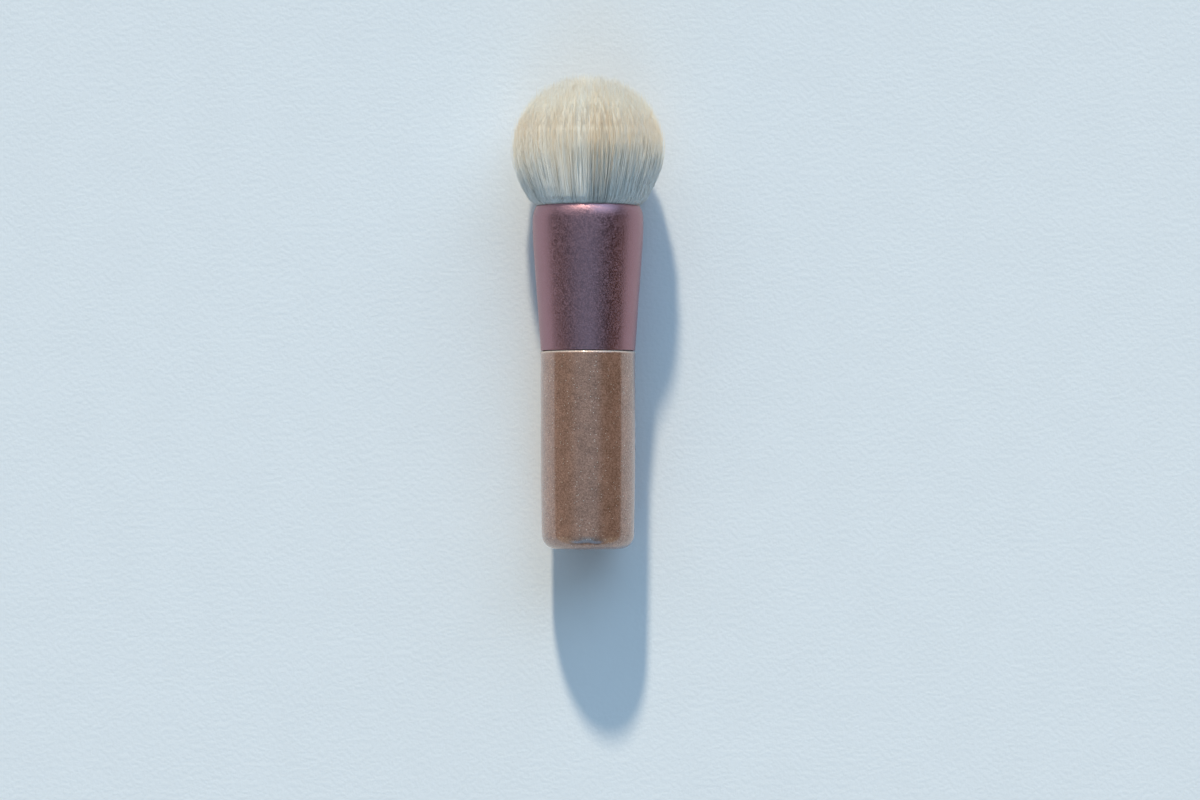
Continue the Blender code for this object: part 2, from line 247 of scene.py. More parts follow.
def grid_chart(left: Any, right: Any, low: Any, high: Any) -> np.ndarray:
    """The UV map of a grid's faces from the edges of each, in the order of their corners."""
    left, right, low, high = np.broadcast_arrays(left, right, low, high)
    return np.stack([left, low, left, high, right, high, right, low], axis=2).reshape(-1, 2)


def turned(profile: np.ndarray, sides: int, axis: BrushAxis, is_ring: bool = False) -> Surface:
    """A surface of revolution about the brush's axis.

    A profile that isn't a ring starts and ends on the axis, and its two ends are closed
    by fans of triangles. On the UV map u is the share of the turn and v the share of the
    profile's length.

    Args:
        profile: Rows of place and radius, with the outer side run from butt to crown.
        sides: Number of columns round the axis.
        axis: The axis that lays the surface down.
        is_ring: Whether the profile's last row meets its first.

    Returns:
        The closed surface, with its faces pointing out.
    """
    rows = np.vstack([profile, profile[:1]]) if is_ring else profile
    steps = np.linalg.norm(np.diff(rows, axis=0), axis=1)
    height = np.concatenate([[0], np.cumsum(steps)]) / steps.sum()
    grid = profile if is_ring else profile[1:-1]
    points = around(grid[:, 1:], grid[:, :1], np.arange(sides) * FULL_TURN / sides).reshape(-1, 3)
    quads = grid_quads(len(grid), sides, is_ring)
    level = np.arange(len(quads))[:, None] + (0 if is_ring else 1)
    left, middle, right = ((np.arange(sides) + shift) / sides for shift in (0, 0.5, 1))
    chart = grid_chart(left, right, height[level], height[level + 1])
    if is_ring:
        return Surface(axis.world(points), *listed(quads), chart)
    points = np.vstack([points, [[0, profile[0, 0], 0], [0, profile[-1, 0], 0]]])
    foot, head = np.full(sides, height[1]), np.full(sides, height[-2])
    lower = np.stack([middle, 0 * foot, left, foot, right, foot], axis=1)
    upper = np.stack([middle, 0 * head + 1, right, head, left, head], axis=1)
    chart = np.vstack([chart, lower.reshape(-1, 2), upper.reshape(-1, 2)])
    fans = end_fans(len(grid), sides)
    return Surface(axis.world(points), *listed(quads, fans), chart)


# Node trees


class Tree:
    """A short hand for building node trees."""

    def __init__(self, nodes_of: bpy.types.NodeTree) -> None:
        """Takes the tree that the nodes go into."""
        self.tree = nodes_of

    def add(self, kind: str, settings: dict | None = None, **inputs: Any) -> bpy.types.Node:
        """A new node.

        Args:
            kind: The node's type, without the words ShaderNode.
            settings: Attributes of the node.
            inputs: A value or a socket for each input, named as the input is, with an
                underscore for a space. in_0 and so on name an input by its number.

        Returns:
            The node.
        """
        made = self.tree.nodes.new("ShaderNode" + kind)
        for name, value in (settings or {}).items():
            setattr(made, name, value)
        for name, value in inputs.items():
            is_number = name.startswith("in_")
            socket = made.inputs[int(name[3:]) if is_number else name.replace("_", " ")]
            self.feed(socket, value)
        return made

    def feed(self, socket: bpy.types.NodeSocket, value: Any) -> None:
        """Links a socket to another one, or gives it a plain value."""
        if isinstance(value, bpy.types.NodeSocket):
            self.tree.links.new(value, socket)
        elif isinstance(value, tuple) and len(value) == 3 and socket.type == "RGBA":
            socket.default_value = (*value, 1.0)
        else:
            socket.default_value = value

    def math(self, operation: str, first: Any, second: Any = 0.0) -> Any:
        """The socket of a Math node on two values."""
        return self.add("Math", {"operation": operation}, in_0=first, in_1=second).outputs[0]

    def blend(self, share: Any, first: Any, second: Any, mode: str = "MIX") -> Any:
        """The socket of a colour that goes from the first to the second with the share."""
        made = self.tree.nodes.new("ShaderNodeMix")
        made.data_type = "RGBA"
        made.blend_type = mode
        self.feed(made.inputs[0], share)
        self.feed(made.inputs[6], first)
        self.feed(made.inputs[7], second)
        return made.outputs[2]

    def spread(self, value: Any, low: float, high: float, *results: float) -> Any:
        """The socket of a value carried softly from a range to 0 and 1, or to two results."""
        made = self.add("MapRange", {"interpolation_type": "SMOOTHSTEP"}, Value=value)
        ends = (low, high, *(results or (0.0, 1.0)))
        for name, number in zip(("From Min", "From Max", "To Min", "To Max"), ends):
            made.inputs[name].default_value = number
        return made.outputs["Result"]

    def ramp(self, value: Any, stops: Stops) -> Any:
        """The socket of a colour ramp with the given stops."""
        made = self.add("ValToRGB", Fac=value)
        elements = made.color_ramp.elements
        while len(elements) < len(stops):
            elements.new(1.0)
        for element, (place, colour) in zip(elements, stops):
            element.position = place
            element.color = (*colour, 1.0)
        return made.outputs["Color"]

    def bump(self, shader: bpy.types.Node, height: Any, strength: float, distance: float) -> None:
        """Feeds the shader's normal with the bumps that a height makes."""
        made = self.add("Bump", Height=height, Strength=strength, Distance=distance)
        self.feed(shader.inputs["Normal"], made.outputs["Normal"])


def new_material(name: str, **constants: float) -> tuple[bpy.types.Material, Tree, bpy.types.Node]:
    """A new material.

    Args:
        name: The material's name.
        constants: A value for each shader socket that keeps one, named as the socket is,
            with an underscore for a space.

    Returns:
        The material, the hand for its tree, and its Principled shader.
    """
    made = bpy.data.materials.new(name)
    made.use_nodes = True
    shader = made.node_tree.nodes["Principled BSDF"]
    for label, value in constants.items():
        shader.inputs[label.replace("_", " ")].default_value = value
    return made, Tree(made.node_tree), shader


def new_group(name: str, *outputs: str) -> tuple[bpy.types.NodeTree, Tree, dict, bpy.types.Node]:
    """A shader node group that takes a place as Vector and a Size in metres.

    Args:
        name: The group's name.
        outputs: The name of each value that it gives.

    Returns:
        The group, the hand for its tree, the inputs of a texture node in it, and its
        output node.
    """
    group = bpy.data.node_groups.new(name, "ShaderNodeTree")
    for label, kind in (("Vector", "NodeSocketVector"), ("Size", "NodeSocketFloat")):
        group.interface.new_socket(label, in_out="INPUT", socket_type=kind)
    for label in outputs:
        group.interface.new_socket(label, in_out="OUTPUT", socket_type="NodeSocketFloat")
    given, result = (group.nodes.new("NodeGroup" + kind) for kind in ("Input", "Output"))
    tree = Tree(group)
    scale = tree.math("DIVIDE", 1.0, given.outputs["Size"])
    return group, tree, {"Vector": given.outputs["Vector"], "Scale": scale}, result


class Effects:
    """The node groups that more than one finish uses, each built once."""

    noise_detail = 2.0
    noise_edges = (0.3, 0.7)  # noise below the first is 0 in the mask, above the second 1

    @cached_property
    def mottle(self) -> bpy.types.NodeTree:
        """Soft patches: a mask that wanders evenly between 0 and 1 over the surface."""
        group, tree, texture, result = new_group("soft_mottle", "Mask")
        noise = tree.add("TexNoise", Detail=self.noise_detail, **texture)
        tree.feed(result.inputs["Mask"], tree.spread(noise.outputs["Fac"], *self.noise_edges))
        return group

    @cached_property
    def grains(self) -> bpy.types.NodeTree:
        """Packed grains: a height and a random share for each grain."""
        group, tree, texture, result = new_group("packed_grains", "Share", "Height")
        cells = tree.add("TexVoronoi", **texture)
        parts = tree.add("SeparateColor", Color=cells.outputs["Color"])
        tree.feed(result.inputs["Share"], parts.outputs["Red"])
        tree.feed(result.inputs["Height"], cells.outputs["Distance"])
        return group


EFFECTS = Effects()


def placed_by_object(tree: Tree) -> Any:
    """The socket of the piece's own coordinates, in metres."""
    return tree.add("TexCoord").outputs["Object"]


def use(tree: Tree, group: bpy.types.NodeTree, where: Any, size: float) -> Any:
    """The outputs of a node that holds the group, for a place and a size."""
    made = tree.tree.nodes.new("ShaderNodeGroup")
    made.node_tree = group
    tree.feed(made.inputs["Vector"], where)
    tree.feed(made.inputs["Size"], size)
    return made.outputs


# Finishes


@dataclass(frozen=True)
class Grained:
    """A finish of packed grains that differ in lightness and tilt, under soft patches."""

    name: str
    dark: Colour
    pale: Colour
    grain_size: float
    grain_tilt: float
    grain_weight: float  # of the grains in how pale a place is
    patch_size: float
    patch_weight: float  # and of the patches

    def grained(self, tree: Tree, shader: bpy.types.Node, where: Any) -> tuple[Any, Any]:
        """Bumps the shader with the grains.

        Args:
            tree: The hand for the material's tree.
            shader: The material's shader.
            where: The socket of the piece's own coordinates.

        Returns:
            The sockets of the colour and of each grain's random share.
        """
        grains = use(tree, EFFECTS.grains, where, self.grain_size)
        patches = use(tree, EFFECTS.mottle, where, self.patch_size)
        light = tree.math("MULTIPLY", grains["Share"], self.grain_weight)
        light = tree.math("ADD", light, tree.math("MULTIPLY", patches["Mask"], self.patch_weight))
        cone = tree.math("MULTIPLY", grains["Share"], grains["Height"])
        tree.bump(shader, cone, self.grain_tilt, self.grain_size)
        return tree.blend(light, self.dark, self.pale), grains["Share"]


@dataclass(frozen=True)
class PearlLacquer(Grained):
    """Glossy bronze lacquer full of fine pearl flakes, under a clear coat."""

    name: str = "handle_lacquer"
    dark: Colour = (0.25, 0.115, 0.066)
    pale: Colour = (0.54, 0.277, 0.183)
    grain_size: float = 0.22 * MM
    grain_tilt: float = 0.3
    grain_weight: float = 0.75
    patch_size: float = 2.2 * MM
    patch_weight: float = 0.25
    # painted highlight: a pale base tone at the shoulder, which whitens the sun's glint there
    shoulder_glint_tone: Colour = (0.6, 0.5, 0.44)
    metallic: float = 0.35
    roughness: float = 0.3
    edge_roughness: float = 0.55
    edge: tuple[float, float] = (-8.0 * MM, -7.6 * MM)  # along the brush, where the coat thins out and the painted highlight tone sets in
    spark_size: float = 0.27 * MM
    # pale flakes, painted brighter than their own colour as painted glints
    spark: Colour = (0.95, 0.82, 0.68)
    spark_share: float = 0.945  # of the cells that have none
    spark_reach: float = 0.27  # in cells, from a spark's middle
    coat_roughness: float = 0.11
    coat_density: float = 1.93  # its index of refraction, raised by the pearl pigment

    def material(self) -> bpy.types.Material:
        """The lacquer: flakes, patches, and a few bright sparks, pale flakes painted brighter as
        their glints.

        At the shoulder the coat thins out and the surface is rougher, and the base is painted paler
        there: a painted highlight that whitens the sun's glint on the shoulder.
        """
        made, tree, shader = new_material(
            self.name,
            Metallic=self.metallic,
            Coat_Roughness=self.coat_roughness,
            Coat_IOR=self.coat_density,
        )
        where = placed_by_object(tree)
        body, _ = self.grained(tree, shader, where)
        along = tree.add("SeparateXYZ", Vector=where).outputs["Y"]
        # the shoulder's base is painted paler, as a painted highlight
        body = tree.blend(tree.spread(along, *self.edge), body, self.shoulder_glint_tone)
        # sparks: single pale flakes whose colour also paints their glint
        sparks = use(tree, EFFECTS.grains, where, self.spark_size)
        is_spark = tree.math("GREATER_THAN", sparks["Share"], self.spark_share)
        is_near = tree.math("LESS_THAN", sparks["Height"], self.spark_reach)
        spark = tree.math("MULTIPLY", is_spark, is_near)
        tree.feed(shader.inputs["Base Color"], tree.blend(spark, body, self.spark))
        rough = tree.spread(along, *self.edge, self.roughness, self.edge_roughness)
        tree.feed(shader.inputs["Roughness"], rough)
        tree.feed(shader.inputs["Coat Weight"], tree.spread(along, *self.edge, 1.0, 0.0))
        return made


@dataclass(frozen=True)
class AnodisedMetal(Grained):
    """Satin mauve anodised aluminium: fine blasted grain and faint patches."""

    name: str = "ferrule_anodised"
    dark: Colour = (0.39, 0.2, 0.22)
    pale: Colour = (0.49, 0.273, 0.303)
    grain_size: float = 0.19 * MM
    grain_tilt: float = 0.16
    grain_weight: float = 0.8
    patch_size: float = 3.0 * MM
    patch_weight: float = 0.1
    roughness: float = 0.39
    roughness_spread: float = 0.1

    def material(self) -> bpy.types.Material:
        """The metal, whose grains differ in roughness too."""
        made, tree, shader = new_material(self.name, Metallic=1.0)
        colour, share = self.grained(tree, shader, placed_by_object(tree))
        tree.feed(shader.inputs["Base Color"], colour)
        least, most = self.roughness - self.roughness_spread, self.roughness + self.roughness_spread
        tree.feed(shader.inputs["Roughness"], tree.spread(share, 0.0, 1.0, least, most))
        return made


@dataclass(frozen=True)
class GoatHair:
    """Undyed cream goat hair.

    The UV map of a strand holds its tone across and its place up the tuft along, so one ramp gives
    the tone of each strand and another the change from root to crown. Both hold painted shade:
    darker, greyer tones near the root for the gaps between strands, a darker band part way up, and
    a dark tone for the body's crown between its strands.
    """

    name: str = "hair"
    tones: Stops = (
        (0.0, (0.8, 0.58, 0.37)),
        (0.25, (0.93, 0.775, 0.585)),
        (0.52, (0.975, 0.88, 0.75)),
        (1.0, (0.99, 0.95, 0.88)),
    )
    # painted shade: the root's tones, darker and greyer than the hair's own random tones, for the
    # shade in the gaps between strands
    root_tones: Stops = (
        (0.0, (0.3, 0.27, 0.24)),
        (0.34, (0.61, 0.575, 0.52)),
        (0.5, (0.905, 0.86, 0.785)),
        (0.62, (0.975, 0.935, 0.875)),
        (1.0, (0.99, 0.96, 0.925)),
    )
    heights: Stops = (
        (0.5, (1.0, 1.0, 1.0)),
        (0.62, (1.0, 0.98, 0.95)),
        # painted shade: a darker band part way up the tuft
        (0.7, (0.94, 0.895, 0.84)),
        (0.8, (0.955, 0.975, 0.985)),
        (0.9, (0.92, 0.955, 1.0)),
        (0.987, (0.92, 0.955, 1.0)),
        (0.994, (0.7, 0.69, 0.67)),  # painted shade of the body's crown, seen between the strands of the crown
    )
    warming: tuple[float, float] = (0.35, 0.64)  # heights between which the root tones, with their painted shade, give way to the cream tones
    roughness: float = 0.55
    sheen: float = 0.3

    def material(self) -> bpy.types.Material:
        """The hair's material, read from the strand's own UV map."""
        made, tree, shader = new_material(
            self.name, Roughness=self.roughness, Sheen_Weight=self.sheen
        )
        chart = tree.add("UVMap", {"uv_map": CHART}).outputs["UV"]
        parts = tree.add("SeparateXYZ", Vector=chart)
        warmth = tree.spread(parts.outputs["Y"], *self.warming)
        root_tone = tree.ramp(parts.outputs["X"], self.root_tones)
        tone = tree.blend(warmth, root_tone, tree.ramp(parts.outputs["X"], self.tones))
        colour = tree.blend(1.0, tone, tree.ramp(parts.outputs["Y"], self.heights), "MULTIPLY")
        tree.feed(shader.inputs["Base Color"], colour)
        return made


@dataclass(frozen=True)
class Mottled:
    """A finish of two tones in soft patches, with fine soft bumps."""

    name: str
    tone: Colour
    other_tone: Colour
    patch_size: float
    bump_size: float
    bump_strength: float
    roughness: float
    specular: float = 0.5
    bump_share: float = 0.25  # of their size, how high the bumps are

    def material(self) -> bpy.types.Material:
        """The finish's material."""
        made, tree, shader = new_material(
            self.name, Roughness=self.roughness, Specular_IOR_Level=self.specular
        )
        where = placed_by_object(tree)
        patches = use(tree, EFFECTS.mottle, where, self.patch_size)
        colour = tree.blend(patches["Mask"], self.tone, self.other_tone)
        tree.feed(shader.inputs["Base Color"], colour)
        bumps = use(tree, EFFECTS.mottle, where, self.bump_size)
        tree.bump(shader, bumps["Mask"], self.bump_strength, self.bump_size * self.bump_share)
        return made


@dataclass(frozen=True)
class Adhesive(Mottled):
    """Amber epoxy, cloudy in places, with a rippled poured surface."""

    name: str = "adhesive"
    tone: Colour = (0.6, 0.47, 0.24)
    other_tone: Colour = (0.5, 0.42, 0.26)
    patch_size: float = 1.5 * MM
    bump_size: float = 0.8 * MM
    bump_strength: float = 0.2
    roughness: float = 0.25


@dataclass(frozen=True)
class PaleTable(Mottled):
    """A matt pale table top with a very faint unevenness."""

    name: str = "pale_table"
    tone: Colour = (0.85, 0.845, 0.85)
    other_tone: Colour = (0.84, 0.835, 0.84)
    patch_size: float = 9.0 * MM
    bump_size: float = 0.9 * MM
    bump_strength: float = 0.12
    roughness: float = 0.9
    specular: float = 0.2


@dataclass(frozen=True)
class Thread:
    """Waxed cotton thread of twisted plies."""

    name: str = "thread"
    ply: Colour = (0.78, 0.75, 0.68)
    # painted shade in the grooves between the plies
    groove_shade: Colour = (0.42, 0.38, 0.31)
    band_pitch: float = 7.0 * MM  # of the sum of the coordinates, from ply to ply
    band_run: float = 10.0  # angle of a diagonal Wave texture for each unit of that sum
    band_wander: float = 0.6
    band_detail: float = 1.0
    groove_depth: float = 0.35 / 3 * MM
    groove_strength: float = 0.5
    roughness: float = 0.75

    def material(self) -> bpy.types.Material:
        """The thread: slanting plies, with painted shade in the grooves between them."""
        made, tree, shader = new_material(self.name, Roughness=self.roughness)
        plies = tree.add(
            "TexWave",
            {"wave_type": "BANDS", "bands_direction": "DIAGONAL"},
            Vector=placed_by_object(tree),
            Scale=FULL_TURN / (self.band_run * self.band_pitch),
            Distortion=self.band_wander,
            Detail=self.band_detail,
        ).outputs["Fac"]
        tree.feed(shader.inputs["Base Color"], tree.blend(plies, self.groove_shade, self.ply))
        tree.bump(shader, plies, self.groove_strength, self.groove_depth)
        return made


# The brush


@dataclass(frozen=True)
class BrushSizes:
    """Driving sizes that more than one piece follows."""

    handle_length: float = 39.6 * MM
    handle_radius: float = 9.5 * MM
    tenon_radius: float = 8.64 * MM
    tenon_length: float = 12.0 * MM
    fit: float = 0.3 * MM
    ferrule_length: float = 28.8 * MM
    ferrule_wall: float = 0.5 * MM
    shoulder_step: float = 0.06 * MM
    flare: float = 1.64 * MM
    flare_ease_radius: float = 77.0 * MM
    lip_ease_radius: float = 21.0 * MM
    lip_ease_length: float = 0.6 * MM
    lip_turn_radius: float = 5.8 * MM
    lip_draw_length: float = 3.05 * MM

    @property
    def ferrule_base(self) -> float:
        """Place where the solid ferrule begins."""
        return self.handle_length + self.fit

    @property
    def ferrule_base_radius(self) -> float:
        """Outer radius of the ferrule there."""
        return self.handle_radius - self.shoulder_step

    @property
    def lip_place(self) -> float:
        """Place of the ferrule's lip."""
        return self.ferrule_base + self.ferrule_length

    @property
    def lip_round(self) -> float:
        """Radius of the lip's rounded edge."""
        return self.ferrule_wall / 2

    @property
    def widest_place(self) -> float:
        """Place where the ferrule is widest."""
        return self.lip_place - self.lip_round - self.lip_draw_length

    @property
    def widest_radius(self) -> float:
        """Outer radius of the ferrule at its widest."""
        return self.ferrule_base_radius + self.flare

    @property
    def lip_ease_angle(self) -> float:
        """How far the easy first part of the lip's draw turns inwards."""
        return math.asin(self.lip_ease_length / self.lip_ease_radius)

    @property
    def lip_angle(self) -> float:
        """How far the whole of the lip's draw turns inwards."""
        turn_length = self.lip_draw_length - self.lip_ease_length
        return math.asin(math.sin(self.lip_ease_angle) + turn_length / self.lip_turn_radius)


@dataclass
class Handle:
    """The turned handle with its tenon."""

    sizes: BrushSizes
    axis: BrushAxis
    butt_draw: float = 0.22 * MM
    butt_draw_length: float = 24.0 * MM
    butt_fillet: float = 3.0 * MM
    shoulder_round: float = 0.6 * MM
    tenon_chamfer: float = 0.6 * MM
    grip_steps: int = 12
    sides: int = 256

    def profile(self) -> np.ndarray:
        """The handle's outline, from the butt's centre to the tenon's end.

        The grip's radius is the full one less the draw times the square of the share of
        the drawn length that is left.
        """
        length, radius = self.sizes.handle_length, self.sizes.handle_radius
        tenon, end = self.sizes.tenon_radius, length + self.sizes.tenon_length
        flat = radius - self.butt_draw - self.butt_fillet
        share = np.linspace(0, 1, self.grip_steps + 1)[1:]
        drawn = self.butt_fillet + share * (self.butt_draw_length - self.butt_fillet)
        grip = np.stack([drawn, radius - self.butt_draw * (1 - share) ** 2], axis=1)
        fillet, rounded, cut = self.butt_fillet, self.shoulder_round, self.tenon_chamfer
        shoulder = length - rounded
        return np.vstack(
            [
                line((0, 0), (0, flat), steps=4)[:-1],
                arc((fillet, flat), fillet, HALF_TURN, QUARTER_TURN, steps=24),
                grip,
                line((self.butt_draw_length, radius), (shoulder, radius), steps=8)[1:-1],
                arc((shoulder, radius - rounded), rounded, QUARTER_TURN, 0, steps=10),
                line((length, tenon), (end - cut, tenon), steps=4),
                line((end, tenon - cut), (end, 0), steps=3),
            ]
        )

    def build(self) -> bpy.types.Object:
        """The handle, dressed in its lacquer."""
        surface = turned(self.profile(), self.sides, self.axis)
        return surface.piece("turned_handle", PearlLacquer().material(), "handle_lacquer", "handle")


@dataclass
class Ferrule:
    """The drawn metal tube that holds the hair."""

    sizes: BrushSizes
    axis: BrushAxis
    seam: float = 0.08 * MM  # what shows of the joint to the handle
    base_round: float = 0.1 * MM
    sides: int = 256

    @property
    def flare_angle(self) -> float:
        """The angle of the straight flare, tangent to the arc that eases it off."""
        sizes = self.sizes
        return tangent_angle(
            sizes.widest_place - sizes.ferrule_base,
            sizes.flare - sizes.flare_ease_radius,
            sizes.flare_ease_radius,
        )

    def radius_at(self, place: float, inset: float) -> float:
        """Radius of the straight flare at a place, this far inside the outer face."""
        run = place - self.sizes.ferrule_base
        base = self.sizes.ferrule_base_radius - inset / math.cos(self.flare_angle)
        return base + run * math.tan(self.flare_angle)

    def wall(self, start: float, inset: float) -> np.ndarray:
        """Points of the wall from a place near the base to the lip.

        A straight flare, an arc that eases it off to the widest ring, and two arcs that
        draw the lip in again, an easy one and a tighter one.
        """
        sizes = self.sizes
        ease_centre = (sizes.widest_place, sizes.widest_radius - sizes.flare_ease_radius)
        draw_centre = (sizes.widest_place, sizes.widest_radius - sizes.lip_ease_radius)
        draw_stop = QUARTER_TURN - sizes.lip_ease_angle
        back = sizes.lip_ease_radius - sizes.lip_turn_radius
        turn_centre = arc(draw_centre, back, draw_stop, draw_stop, steps=0)[0]
        ease_start, ease_radius = QUARTER_TURN + self.flare_angle, sizes.flare_ease_radius - inset
        ease = arc(ease_centre, ease_radius, ease_start, QUARTER_TURN, steps=16)
        draw = arc(draw_centre, sizes.lip_ease_radius - inset, QUARTER_TURN, draw_stop, steps=8)
        lip_stop = QUARTER_TURN - sizes.lip_angle
        turn = arc(turn_centre, sizes.lip_turn_radius - inset, draw_stop, lip_stop, steps=12)
        flare = line((start, self.radius_at(start, inset)), ease[0], steps=8)
        return np.vstack([flare, ease[1:], draw[1:], turn[1:]])

    def profile(self) -> np.ndarray:
        """The ring that the tube's wall makes: outer face, rounded lip, bore and base."""
        base = self.sizes.handle_length + self.seam
        outer = self.wall(base + self.base_round, 0)
        inner = self.wall(base, self.sizes.ferrule_wall)
        middle = (outer[-1] + inner[-1]) / 2
        lip_start = QUARTER_TURN - self.sizes.lip_angle
        lip = arc(middle, self.sizes.lip_round, lip_start, lip_start - HALF_TURN, steps=14)
        edge_centre = (base + self.base_round, outer[0, 1] - self.base_round)
        edge = arc(edge_centre, self.base_round, HALF_TURN, QUARTER_TURN, steps=6)
        return np.vstack([edge[:-1], outer, lip[1:-1], inner[::-1]])

    def build(self) -> bpy.types.Object:
        """The ferrule, dressed in its anodised finish."""
        surface, finish = turned(self.profile(), self.sides, self.axis, True), AnodisedMetal()
        return surface.piece("drawn_ferrule", finish.material(), "ferrule_anodised", "ferrule")


@dataclass(frozen=True)
class LayerSizes:
    """How many strands a layer has, and how they are drawn."""

    crowd: int
    drawn_length: float  # longest length of a strand that is drawn, down from its tip
    foot_steps: tuple[float, ...]  # shares of a strand's length where its first rings stand
    even_start: float  # share from which the others stand evenly, up to the tip
    even_steps: int

    @property
    def steps(self) -> np.ndarray:
        """Shares of a strand's length where its rings stand, and 1 for its tip."""
        return np.concatenate([self.foot_steps, np.linspace(self.even_start, 1, self.even_steps)])


class Layer(Enum):
    """The layers of strands."""

    SIDE = LayerSizes(7_200, math.inf, (0, 0.045, 0.09), 0.16, 7)
    CROWN = LayerSizes(42_000, 2.4 * MM, (0,), 0.1, 4)


@dataclass(frozen=True)
class Field:
    """A random field over the tuft's round, about -1 to 1, that closes round the turn.

    It is a sum of sines of whole multiples of the angle plus a multiple of the share of
    the radius, each with its own phase, divided by the root of half their number.
    """

    turns: np.ndarray
    runs: np.ndarray
    phases: np.ndarray

    @classmethod
    def drawn(cls, rng: np.random.Generator, count: int, lowest: int, highest: int) -> Field:
        """A field of this many sines, with between lowest and highest waves in a turn."""
        turns = rng.integers(lowest, highest + 1, count)
        runs = rng.uniform(-highest / 2, highest / 2, count)
        return cls(turns, runs, rng.uniform(0, FULL_TURN, count))

    def at(self, angle: np.ndarray, share: np.ndarray) -> np.ndarray:
        """The field's values at the given angles and shares of the radius."""
        waves = np.sin(angle[:, None] * self.turns + share[:, None] * self.runs + self.phases)
        return waves.sum(axis=1) / math.sqrt(len(self.turns) / 2)


@dataclass(frozen=True)
class Lock:
    """A band round the tuft whose tone differs from the rest, and fades out to both sides: a lock
    of hair, or painted light on a shaded flank.
    """

    angle: float
    width: float
    change: float


@dataclass(frozen=True)
class Toning:
    """How the tone of the hair wanders round the tuft, from broad locks to single hairs."""

    fields: tuple[tuple[float, Field], ...]
    locks: tuple[Lock, ...]
    middle: float = 0.52

    @classmethod
    def drawn(
        cls, rng: np.random.Generator, streaks: dict[float, Waves], locks: tuple[Lock, ...]
    ) -> Toning:
        """A toning of streaks, each with its weight and its waves, and of locks."""
        fields = tuple((weight, Field.drawn(rng, *waves)) for weight, waves in streaks.items())
        return cls(fields, locks)

    def at(self, angle: np.ndarray, share: np.ndarray) -> np.ndarray:
        """The tone at the given angles and shares of the radius.

        The middle tone, plus each field times its weight, plus each lock's change times
        a bell curve of the angle from its own.
        """
        tone = self.middle + sum(weight * field.at(angle, share) for weight, field in self.fields)
        for lock in self.locks:
            apart = (angle - lock.angle + HALF_TURN) % FULL_TURN - HALF_TURN
            tone = tone + lock.change * np.exp(-((apart / lock.width) ** 2)) * share**2
        return tone


@dataclass
class Strands:
    """Where each strand stands and how it differs from its neighbours, one row each."""

    share: np.ndarray
    angle: np.ndarray
    tone: np.ndarray
    tip: np.ndarray
    foot: np.ndarray
    sway: np.ndarray
    lift: np.ndarray
    bow: np.ndarray
    bulge: np.ndarray
    turn: np.ndarray

    def chosen(self, keep: np.ndarray) -> Strands:
        """The strands of the rows to keep."""
        return Strands(**{name: rows[keep] for name, rows in self.__dict__.items()})


